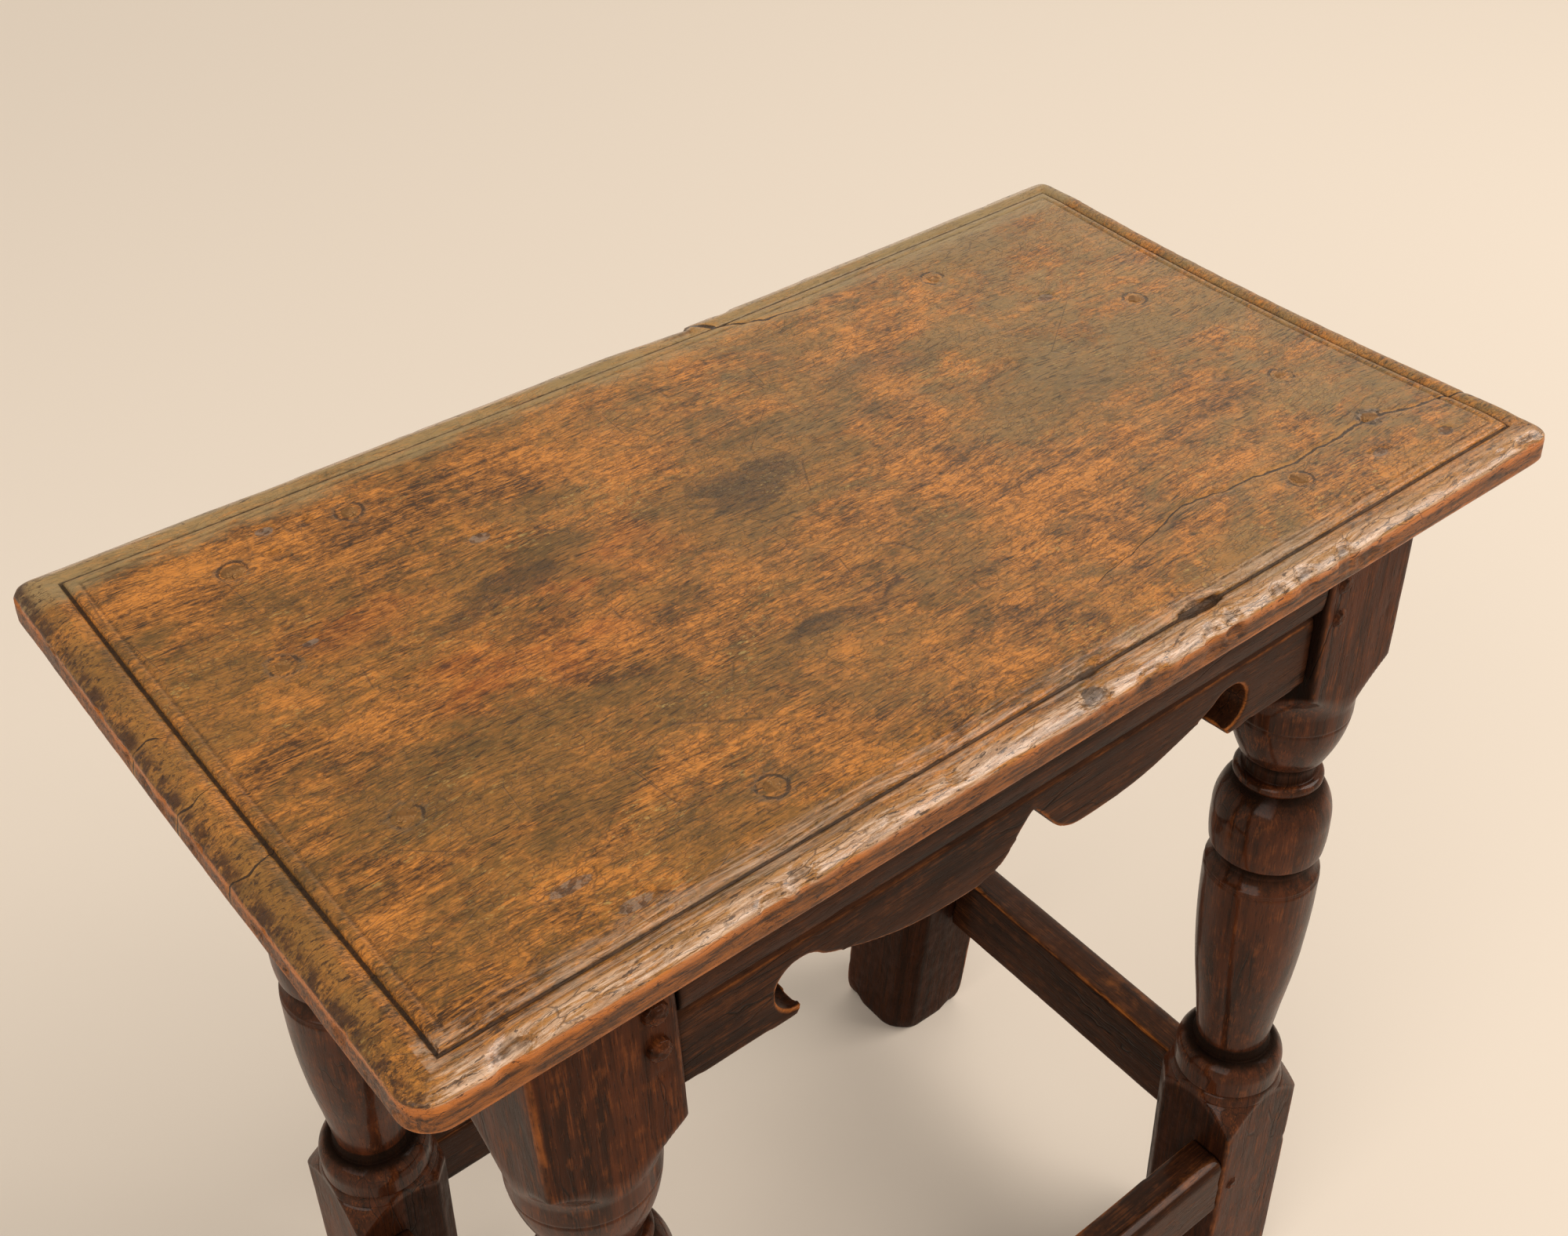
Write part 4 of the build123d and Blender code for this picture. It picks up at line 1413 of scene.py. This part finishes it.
@dataclass
class Rail:
    """An apron or stretcher between two legs, worn from its sharp shape.

    Attributes:
        node: Name of its node.
        along_x: True for the long rails.
        voxel: Size of the mesh's cells.
        wear_depth: How far edges are worn down.
        slot: Name of its material slot.
        tuck: How far its ends stand in the legs.
    """

    node: str
    along_x: bool
    voxel: float
    wear_depth: float
    slot: str
    tuck: float = 0.4

    def shoulders(self) -> list[tuple[Vector, Vector]]:
        """Planes that cut the tenons off.

        Returns:
            A point and an outward normal for each end, in metres.
        """
        reach = ((LONG_SHOULDER if self.along_x else END_SHOULDER) + self.tuck) * MM
        if self.along_x:
            return [(Vector((hand * reach, 0, 0)), Vector((hand, 0, 0))) for hand in (-1, 1)]
        return [
            (Vector((0, hand * reach, FRAME_TOP * MM)),
             Vector((0, hand * math.cos(LEAN), math.sin(LEAN))))
            for hand in (-1, 1)
        ]

    def body(self) -> bpy.types.Mesh:
        """Copy the node without its tenons.

        Returns:
            A closed mesh.
        """
        bm = bmesh.new()
        bm.from_mesh(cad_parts[self.node].data)
        bmesh.ops.remove_doubles(bm, verts=bm.verts, dist=2e-6)
        for place, normal in self.shoulders():
            bmesh.ops.bisect_plane(bm, geom=[*bm.verts, *bm.edges, *bm.faces], plane_co=place,
                                   plane_no=normal, clear_outer=True, dist=1e-7)
            rims = [edge for edge in bm.edges if edge.is_boundary]
            bmesh.ops.holes_fill(bm, edges=rims, sides=0)
        bmesh.ops.triangulate(bm, faces=bm.faces)
        mesh = bpy.data.meshes.new(f"{self.node}_body")
        bm.to_mesh(mesh)
        bm.free()
        return mesh

    def build(self, material: bpy.types.Material) -> bpy.types.Object:
        """Build and dress the rail.

        Args:
            material: Its material.

        Returns:
            The rail.
        """
        lattice = Lattice(sum(map(ord, self.node)))
        body = self.body()
        corners = [vertex.co.copy() for vertex in body.vertices]
        sharp = BVHTree.FromPolygons(corners, [tuple(p.vertices) for p in body.polygons])
        rough = add_object(f"{self.node}_rough", body)
        remesh = rough.modifiers.new("remesh", "REMESH")
        remesh.mode = "VOXEL"
        remesh.voxel_size = self.voxel * MM
        rail = settled(rough, f"worn_{self.node}")
        mesh = rail.data

        snapped = np.array([sharp.find_nearest(vertex.co)[0] for vertex in mesh.vertices]) / MM
        write_points(mesh, snapped)
        eased = spread(mesh, snapped, 3)
        normals = normals_of(mesh)
        bend = np.einsum("ij,ij->i", snapped - eased, normals)
        convex = spread(mesh, np.clip(bend / (0.30 * self.voxel), 0, 1), 2)
        hollow = spread(mesh, np.clip(-bend / (0.22 * self.voxel), 0, 1), 4)

        worn = lattice.layered(snapped, (38, 26, 26), 3)
        depth = convex * self.wear_depth * (1 + 0.9 * worn)
        depth += 0.10 * (1 + lattice.layered(snapped, (60, 24, 24), 2, 70.0))
        depth += 0.04 * (1 + lattice.layered(snapped, (12, 6, 6), 2, 20.0))
        chips = smoothstep(0.4, 0.75, lattice.layered(snapped, (9, 6, 6), 2, 99.0))
        depth += convex * chips * 0.8
        relaxed = spread(mesh, snapped, 1)
        write_points(mesh, relaxed - normals * depth[:, None])

        below = FRAME_TOP - snapped[:, 2]
        if self.along_x:
            reach = LONG_SHOULDER - np.abs(snapped[:, 0])
            grain = snapped[:, [0, 2, 1]]
        else:
            reach = END_SHOULDER + below * math.tan(LEAN) - np.abs(snapped[:, 1])
            grain = snapped[:, [1, 2, 0]]
        reach = np.maximum(reach, 0.0)
        grime = 0.75 * hollow + 0.8 * np.exp(-reach / 1.6)
        grime += 0.45 * np.exp(-np.maximum(below, 0.0) / 5.0)
        wear = np.clip(convex * (1.0 + 0.5 * worn), 0, 1) * (1 - np.exp(-reach / 3.0))
        upward = smoothstep(0.6, 0.95, normals[:, 2]) * smoothstep(300.0, 250.0, snapped[:, 2])
        wear = np.clip(wear + upward * (0.22 + 0.3 * worn), 0, 1)
        offset = sum(map(ord, self.node)) % 97 * np.array([0.37, 0.11, 0.0])
        write_attributes(mesh, grain=grain * MM + offset, wear=wear,
                         grime=np.clip(grime, 0, 1), polish=0.2 + 0.5 * upward)
        finish_piece(rail, material, [self.node])
        return rail


# --- Pegs ---------------------------------------------------------------------------------


@dataclass(frozen=True)
class Peg:
    """A whittled peg: where its head's foot lies, which way it points and how far it stands."""

    place: tuple[float, float, float]
    axis: tuple[float, float, float]
    proud: float
    node: str


@dataclass
class PegSet:
    """Pegs made by one Geometry Nodes tree on points that carry their axes.

    Attributes:
        name: Name of the piece.
        pegs: The pegs.
        radius: Radius over the flats' corners.
        depth: Length below the surface that the mesh keeps.
        bevel: Rounding of the head's rim.
        slot: Name of the material slot.
        uneven: How far points stray from the whittled shape.
        polish: How far the wax shines.
    """

    name: str
    pegs: Sequence[Peg]
    radius: float
    depth: float
    bevel: float
    slot: str
    uneven: float = 0.5
    polish: float = 0.3

    def tree(self, material: bpy.types.Material) -> tuple[bpy.types.NodeTree, dict[str, str]]:
        """Build the tree that puts a peg on every point.

        Args:
            material: Material of the pegs.

        Returns:
            The tree and the identifiers of its named inputs.
        """
        tree = bpy.data.node_groups.new(f"{self.name}_maker", "GeometryNodeTree")
        face = tree.interface
        face.new_socket("Geometry", in_out="INPUT", socket_type="NodeSocketGeometry")
        names = {
            label: face.new_socket(label, in_out="INPUT", socket_type="NodeSocketFloat").identifier
            for label in ("Radius", "Depth", "Bevel", "Roughness")
        }
        face.new_socket("Geometry", in_out="OUTPUT", socket_type="NodeSocketGeometry")
        graph = Graph(tree)
        given = graph.node("NodeGroupInput", out="Geometry")
        inputs = given.socket.node.outputs
        radius, depth, bevel, rough = (Value(graph, inputs[label]) for label in names)

        def named(name: str, kind: str = "FLOAT") -> Value:
            """Read an attribute of the points."""
            return graph.node("GeometryNodeInputNamedAttribute", {"data_type": kind},
                              {"Name": name})

        def stored(shape: Value, name: str, kind: str, value: Value) -> Value:
            """Store an attribute on a shape."""
            return graph.node("GeometryNodeStoreNamedAttribute", {"data_type": kind},
                              {"Geometry": shape, "Name": name, "Value": value})

        def shaped(shape: Value, **change: Value) -> Value:
            """Set a shape's positions, or move it by an offset."""
            return graph.node("GeometryNodeSetPosition", None, {"Geometry": shape, **change})

        # One whittled peg: a cylinder made eight-sided, with its head's rim rounded.
        stick = graph.node("GeometryNodeMeshCylinder", {"fill_type": "TRIANGLE_FAN"}, {
            "Vertices": 48, "Side Segments": 7, "Fill Segments": 9, "Radius": 1.0, "Depth": 1.0,
        })
        x, y, z = graph.split(graph.node("GeometryNodeInputPosition"))
        eighth = math.pi / 4
        flat = (y.math("ARCTAN2", x) + 8 * math.pi).math("MODULO", eighth) - eighth / 2
        octagon = math.cos(eighth / 2) / flat.math("COSINE")
        rim = (x * x + y * y).math("SQRT").ease(0.55, 1.0)
        height = (z - 0.5) * depth - bevel * rim * z.ease(0.30, 0.5)
        grow = octagon * radius * (1.0 - 0.12 * z.ease(0.2, 0.5))
        peg = shaped(stick, Position=graph.vector(x * grow, y * grow, height))
        x, y, z = graph.split(graph.node("GeometryNodeInputPosition"))
        peg = stored(peg, "grain", "FLOAT_VECTOR", graph.vector(z, x, y))
        edge = (x * x + y * y).math("SQRT") / radius
        rubbed = edge.ease(0.62, 0.86) * (z / depth).ease(-0.6, -0.15)
        peg = stored(peg, "wear", "FLOAT", rubbed * 0.15)

        # The pegs in their places, and a little uneven.
        axis = named("axis", "FLOAT_VECTOR")
        raised = shaped(given, Offset=graph.scaled(axis, named("proud")))
        aim = graph.node("FunctionNodeAlignRotationToVector", {"axis": "Z"}, {"Vector": axis})
        spin = graph.node("FunctionNodeAxisAngleToRotation", None,
                          {"Axis": (0.0, 0.0, 1.0), "Angle": named("twist")})
        turned = graph.node("FunctionNodeRotateRotation", {"rotation_space": "LOCAL"},
                            {"Rotation": aim, "Rotate By": spin})
        placed = graph.node("GeometryNodeInstanceOnPoints", None,
                            {"Points": raised, "Instance": peg, "Rotation": turned})
        solid = graph.node("GeometryNodeRealizeInstances", None, {"Geometry": placed})
        wobble = graph.node("ShaderNodeTexNoise", None, {
            "Vector": graph.node("GeometryNodeInputPosition"), "Scale": 420.0, "Detail": 2.0,
        }, out="Color")
        nudge = graph.scaled(graph.shifted(wobble, (-0.5, -0.5, -0.5)), rough * MM)
        moved = shaped(solid, Offset=nudge)
        graph.finish("NodeGroupOutput", graph.node("GeometryNodeSetMaterial", None,
                                                   {"Geometry": moved, "Material": material}))
        return tree, names

    def build(self, material: bpy.types.Material) -> bpy.types.Object:
        """Build and dress the pegs.

        Args:
            material: Their material.

        Returns:
            One mesh of all the pegs.
        """
        spots = bpy.data.meshes.new(f"{self.name}_spots")
        spots.from_pydata([Vector(peg.place) * MM for peg in self.pegs], [], [])
        write_attributes(
            spots,
            axis=np.array([peg.axis for peg in self.pegs]),
            proud=np.array([peg.proud for peg in self.pegs]) * MM,
            twist=np.random.default_rng(29).uniform(0, math.tau, len(self.pegs)),
        )
        holder = add_object(f"{self.name}_holder", spots)
        tree, names = self.tree(material)
        maker = holder.modifiers.new("pegs", "NODES")
        maker.node_group = tree
        sizes = (self.radius * MM, self.depth * MM, self.bevel * MM, self.uneven)
        for identifier, size in zip(names.values(), sizes):
            maker[identifier] = size
        piece = settled(holder, self.name)
        count = len(piece.data.vertices)
        write_attributes(piece.data, grime=np.zeros(count), polish=np.full(count, self.polish))
        finish_piece(piece, material, sorted({peg.node for peg in self.pegs}))
        return piece


# --- The whole stool ----------------------------------------------------------------------


# Marks of use on the plank, in millimetres from its middle. Dents: x, y, half length, half width
# and depth. Patches of colour: x, y, half length, half width and strength.
DENTS = (
    (-156.2, 86.6, 3.5, 2.0, 0.5), (-170.5, 85.9, 5.0, 3.0, 0.35), (-153.5, 98.5, 3.5, 2.5, 0.5),
    (-166.8, 41.6, 4.0, 2.0, 0.5), (-179.5, 25.4, 4.0, 2.0, 0.4), (-100.3, 54.9, 4.5, 2.5, 0.5),
    (-140.4, 94.4, 2.5, 2.5, 0.5), (154.8, 53.8, 4.0, 2.5, 0.5), (163.4, -27.3, 5.0, 3.0, 0.3),
    (166.7, -95.1, 4.5, 2.5, 0.6), (195.5, -101.4, 3.5, 2.5, 0.7), (-160.6, -88.3, 9.0, 3.0, 0.5),
    (-151.3, -103.6, 6.0, 3.0, 0.6), (53.2, -112.0, 8.0, 2.6, 2.6), (3.3, -110.9, 5.0, 2.5, 0.8),
    (-2.1, -121.0, 5.0, 4.5, 1.0), (47.5, -123.7, 3.5, 4.0, 0.9), (57.5, -122.5, 3.0, 4.5, 0.9),
    (79.3, -124.0, 3.0, 3.5, 0.9), (92.1, -123.5, 4.5, 4.0, 1.1), (111.5, -123.5, 4.0, 4.0, 1.1),
    (-112.4, -121.5, 4.0, 4.0, 0.8), (-122.6, -124.5, 5.0, 2.5, 1.0),
    (-199.6, -122.0, 6.0, 4.0, 1.1), (-56.9, -119.5, 2.5, 3.0, 0.6), (20.0, -124.5, 6.0, 3.0, 0.9),
)
SMOKY = (
    (-14, 26, 30, 17, 0.85), (-106, 28, 22, 9, 0.85), (-128, 22, 16, 7, 0.5),
    (-44.7, -45.6, 17, 5, 0.85), (-25, -50, 12, 4, 0.5), (70, 55, 40, 14, 0.35),
)
RED = ((-118, -2, 42, 26, 1.0), (-80, 20, 40, 20, 0.7), (-150, 40, 30, 14, 0.5))
OLIVE = (
    (-150, -35, 55, 26, 1.0), (-10, 30, 60, 30, 0.9), (120, 10, 60, 45, 0.8),
    (-95, -55, 40, 18, 0.6),
)
FILLER = (
    (-160.6, -88.3, 9, 3, 1.0), (-151.3, -103.6, 8, 3, 1.0), (-2.1, -121.0, 5, 5, 1.0),
    (154.8, 53.8, 5, 3, 0.9), (-100.3, 54.9, 5, 3, 0.9), (-153.5, 98.5, 4, 3, 0.9),
    (195.5, -101.4, 4, 3, 1.0), (166.7, -95.1, 5, 3, 0.9), (92.1, -123.5, 4, 4, 0.9),
    (111.5, -123.5, 4, 4, 0.9), (-166.8, 41.6, 4, 2, 0.9), (182.6, -78.8, 9, 6, 0.8),
)
CRACKS = (
    Crack(((229, -90), (217, -88), (196, -83.2), (182.6, -78.8), (160, -79.8),
           (138, -80.2), (110, -76.5), (89.3, -73.8), (60, -80), (36, -85)),
          (0.35, 0.5, 0.8, 0.8, 0.55, 0.5, 0.35, 0.3, 0.2, 0.1)),
    Crack(((27, 124), (33, 117), (42, 110.5), (55.6, 105.7), (78, 103.5)),
          (0.9, 0.9, 0.7, 0.5, 0.15)),
    Crack(((-229, 32.0), (-222, 33.0), (-219, 31.0)), (0.5, 0.4, 0.2)),
    Crack(((-229, 3.4), (-223, 2.0), (-217, 4.0)), (0.5, 0.4, 0.15)),
    Crack(((-228, -29), (-222, -31), (-214, -28)), (0.3, 0.4, 0.2)),
)


@dataclass
class JointStool:
    """The stool: four legs, eight rails, a plank and their pegs.

    Attributes:
        top_pegs: Place and node of each peg through the plank.
        apron_peg_drops: Drops of the pegs through the aprons' tenons.
        stretcher_peg_drop: Drop of a stretcher's peg below the stretcher's top.
        stretcher_level: Height of the stretchers' top.
        peg_setback: From a rail's shoulder to its pegs.
        proud: How far the pegs of the left and right legs stand out.
        sunk: The same for the plank's pegs.
    """

    top_pegs: tuple[tuple[float, float, str], ...] = (
        (-180.5, -39.0, "pegs_top_apron_left"), (-178.0, 37.0, "pegs_top_apron_left"),
        (181.4, -40.5, "pegs_top_apron_right"), (181.8, 32.0, "pegs_top_apron_right"),
        (-170.0, 86.0, "pegs_top_legs"), (182.6, -78.8, "pegs_top_legs"),
        (132.0, -88.4, "pegs_top_apron_front"), (-98.7, -92.4, "pegs_top_apron_front"),
        (128.3, 90.4, "pegs_top_apron_back"), (-127.0, 92.0, "pegs_top_apron_back"),
    )
    apron_peg_drops: tuple[float, ...] = (21.5, 36.0)
    stretcher_peg_drop: float = 23.5
    stretcher_level: float = 130.5
    peg_setback: float = 8.5
    proud: tuple[float, float] = (2.6, 0.9)
    sunk: float = -0.22

    def frame_pegs(self) -> list[Peg]:
        """Lay out the pegs driven through the frame's tenons.

        Returns:
            The pegs of all sixteen joints.
        """
        pegs = []
        low = FRAME_TOP - self.stretcher_level
        faces = (LEG_AXIS[0] + LEG_HALF, LEG_AXIS[1] + LEG_HALF / math.cos(LEAN))
        for side, end in product(Side, End):
            hand, proud = end.value, self.proud[end is End.RIGHT]
            outward = (0.0, side.value * math.cos(LEAN), math.sin(LEAN))
            for drop in (*self.apron_peg_drops, low / math.cos(LEAN) + self.stretcher_peg_drop):
                place = (hand * (LONG_SHOULDER + self.peg_setback),
                         side.value * (faces[1] + drop * math.sin(LEAN)),
                         FRAME_TOP - drop * math.cos(LEAN))
                pegs.append(Peg(place, outward, proud, self.peg_node(drop, side, end)))
            level = low + self.stretcher_peg_drop
            for drop in (*self.apron_peg_drops, level):
                middle = level if drop == level else sum(self.apron_peg_drops) / 2
                along = END_SHOULDER + middle * math.tan(LEAN) + self.peg_setback
                place = (hand * faces[0], side.value * along, FRAME_TOP - drop)
                node = self.peg_node(drop, end, side)
                pegs.append(Peg(place, (float(hand), 0.0, 0.0), proud, node))
        return pegs

    def peg_node(self, drop: float, *corner: Enum) -> str:
        """Name the node of a peg from its drop and its leg's corner."""
        kind = "peg_stretcher" if drop > max(self.apron_peg_drops) else "pegs_apron"
        return "_".join([kind, *(part.name.lower() for part in corner)])

    def framework(self) -> None:
        """Build the legs, the rails and the pegs through their tenons."""
        dark = OakTones(deep=(36, 18, 10), mid=(78, 39, 20), light=(118, 64, 30),
                        rubbed=(160, 90, 38), grime=(15, 10, 8))
        sooty = OakTones(deep=(30, 16, 10), mid=(58, 31, 17), light=(98, 55, 27),
                         rubbed=(160, 92, 40), grime=(13, 9, 7))
        leg_oak = FrameFinish("oak_legs_waxed", dark).build()
        for side, end in product(Side, End):
            TurnedLeg(side, end).build(leg_oak)
        apron_oak = FrameFinish("oak_aprons_waxed", sooty, gloss=0.40).build()
        stretcher_oak = FrameFinish("oak_stretchers_waxed", sooty, gloss=0.34, rub=0.8).build()
        for name in ("front", "back", "left", "right"):
            along_x = name in ("front", "back")
            Rail(f"apron_{name}", along_x, voxel=0.9, wear_depth=0.35,
                 slot="oak_aprons").build(apron_oak)
            Rail(f"stretcher_{name}", along_x, voxel=1.0, wear_depth=0.7,
                 slot="oak_stretchers").build(stretcher_oak)
        peg_oak = FrameFinish("oak_pegs_waxed", dark, gloss=0.34).build()
        PegSet("drawbored_pegs", self.frame_pegs(), radius=4.15, depth=6.0, bevel=0.9,
               slot="frame_pegs").build(peg_oak)

    def seat(self) -> None:
        """Build the plank and the pegs that hold it down."""
        tones = OakTones(deep=(106, 74, 42), mid=(148, 102, 56), light=(176, 136, 90),
                         rubbed=(146, 116, 82), grime=(60, 46, 34))
        peg_oak = FrameFinish("oak_plank_pegs", tones, gloss=0.40).build()
        plank = PlankTop(dents=tuple(Dent(*row) for row in DENTS), cracks=CRACKS,
                         pegs=tuple((x, y) for x, y, _ in self.top_pegs))
        pegs = [
            Peg((x, y, SEAT_TOP - float(plank.sag(y))), (0.0, 0.0, 1.0), self.sunk, node)
            for x, y, node in self.top_pegs
        ]
        PegSet("plank_pegs", pegs, radius=4.5, depth=5.0, bevel=0.35,
               slot="top_pegs").build(peg_oak)
        areas = (tuple(Patch(*row) for row in rows) for rows in (SMOKY, RED, OLIVE, FILLER))
        plank.build(PlankFinish("oak_plank_polished", *areas).build())

    def build(self) -> None:
        """Build every piece."""
        self.framework()
        self.seat()


@dataclass
class Studio:
    """Pale floor, soft lamps and the camera.

    Attributes:
        focal: Focal length in pixels of the full-size render.
        centre: Where the optical axis meets that render, in its pixels.
        eye: Where the camera stands, in metres.
        backdrop: Colour of the background.
        fade: Distances over which the floor turns into the backdrop, in metres.
    """

    focal: float = 2228.2042
    centre: tuple[float, float] = (1029.045, 847.105)
    eye: Triple = (-0.3092773, -0.3551626, 0.8270888)
    backdrop: Colour = srgb(230, 212, 190)
    fade: tuple[float, float] = (1.2, 4.0)

    RENDER_SIZE = (2000.0, 1576.0)
    SENSOR = 36.0
    FLOOR_HALF = 30.0
    AIM = (0.0, 0.0, 0.4)
    RIGHT = (0.771981, -0.6354732, 0.0148046)
    DOWN = (-0.4055623, -0.5103491, -0.7583291)
    AHEAD = (0.4894534, 0.5794115, -0.6517037)

    def seen(self, graph: Graph) -> Value:
        """Tell the rays that show the background from those that only light the object.

        Args:
            graph: The tree.

        Returns:
            One for camera, glossy and transmission rays.
        """
        outputs = graph.node("ShaderNodeLightPath").socket.node.outputs
        camera, glossy, through = (Value(graph, outputs[f"Is {kind} Ray"])
                                   for kind in ("Camera", "Glossy", "Transmission"))
        return (camera + glossy + through).clipped()

    def floor(self) -> None:
        """Lay the floor, which fades into the backdrop far from the stool."""
        half = self.FLOOR_HALF
        mesh = bpy.data.meshes.new("studio_floor")
        mesh.from_pydata([(-half, -half, 0), (half, -half, 0), (half, half, 0), (-half, half, 0)],
                         [], [(0, 1, 2, 3)])
        floor = add_object("studio_floor", mesh)
        material, graph = new_material("studio_floor_paint")
        paint = graph.node("ShaderNodeBsdfPrincipled", None, {
            "Base Color": srgb(230, 216, 199), "Roughness": 0.9, "Specular IOR Level": 0.1,
        })
        distant = graph.node("ShaderNodeEmission", None, {"Color": self.backdrop})
        x, y, _ = graph.split(graph.node("ShaderNodeTexCoord", out="Object"))
        away = (x * x + y * y).math("SQRT").ease(*self.fade)
        graph.finish("ShaderNodeOutputMaterial", graph.node(
            "ShaderNodeMixShader", None, {0: away * self.seen(graph), 1: paint, 2: distant}))
        mesh.materials.append(material)

    def light(self) -> None:
        """Set the world and the lamps."""
        world = bpy.data.worlds.new("studio_world")
        bpy.context.scene.world = world
        world.use_nodes = True
        graph = Graph(world.node_tree)
        plain = graph.node("ShaderNodeBackground", None,
                           {"Color": (1.0, 0.96, 0.91, 1.0), "Strength": 0.55})
        distant = graph.node("ShaderNodeBackground", None, {"Color": self.backdrop})
        graph.finish("ShaderNodeOutputWorld", graph.node(
            "ShaderNodeMixShader", None, {0: self.seen(graph), 1: plain, 2: distant}))
        lamps = (
            ("key", (2.3, -1.8, 2.9), 2.4, 105.0, (1.0, 0.95, 0.90)),
            ("fill", (-2.6, -0.9, 2.0), 2.2, 38.0, (1.0, 0.95, 0.9)),
            ("sheen", (2.7, 2.1, 2.0), 2.6, 14.0, (1.0, 0.95, 0.88)),
        )
        for name, place, size, power, tint in lamps:
            lamp = bpy.data.lights.new(f"studio_{name}", "AREA")
            lamp.shape, lamp.size, lamp.energy, lamp.color = "SQUARE", size, power, tint
            turn = (Vector(self.AIM) - Vector(place)).to_track_quat("-Z", "Y").to_matrix()
            add_object(lamp.name, lamp).matrix_world = Matrix.Translation(place) @ turn.to_4x4()

    def camera(self) -> None:
        """Set the camera."""
        wide, high = self.RENDER_SIZE
        data = bpy.data.cameras.new("studio_camera")
        data.sensor_width = self.SENSOR
        data.lens = self.focal * self.SENSOR / wide
        data.shift_x = -(self.centre[0] - wide / 2) / wide
        data.shift_y = (self.centre[1] - high / 2) / wide
        data.clip_start, data.clip_end = 0.01, 100.0
        camera = add_object("studio_camera", data)
        axes = Matrix((self.RIGHT, [-v for v in self.DOWN], [-v for v in self.AHEAD]))
        camera.matrix_world = Matrix.Translation(self.eye) @ axes.transposed().to_4x4()
        bpy.context.scene.camera = camera

    def build(self) -> None:
        """Set the whole studio."""
        bpy.context.scene.view_settings.view_transform = "Standard"
        self.camera()
        self.floor()
        self.light()


def main() -> None:
    """Build the stool and the studio."""
    logging.basicConfig(level=logging.INFO, format="%(message)s")
    Studio().build()
    JointStool().build()


if __name__ == "__main__":
    main()
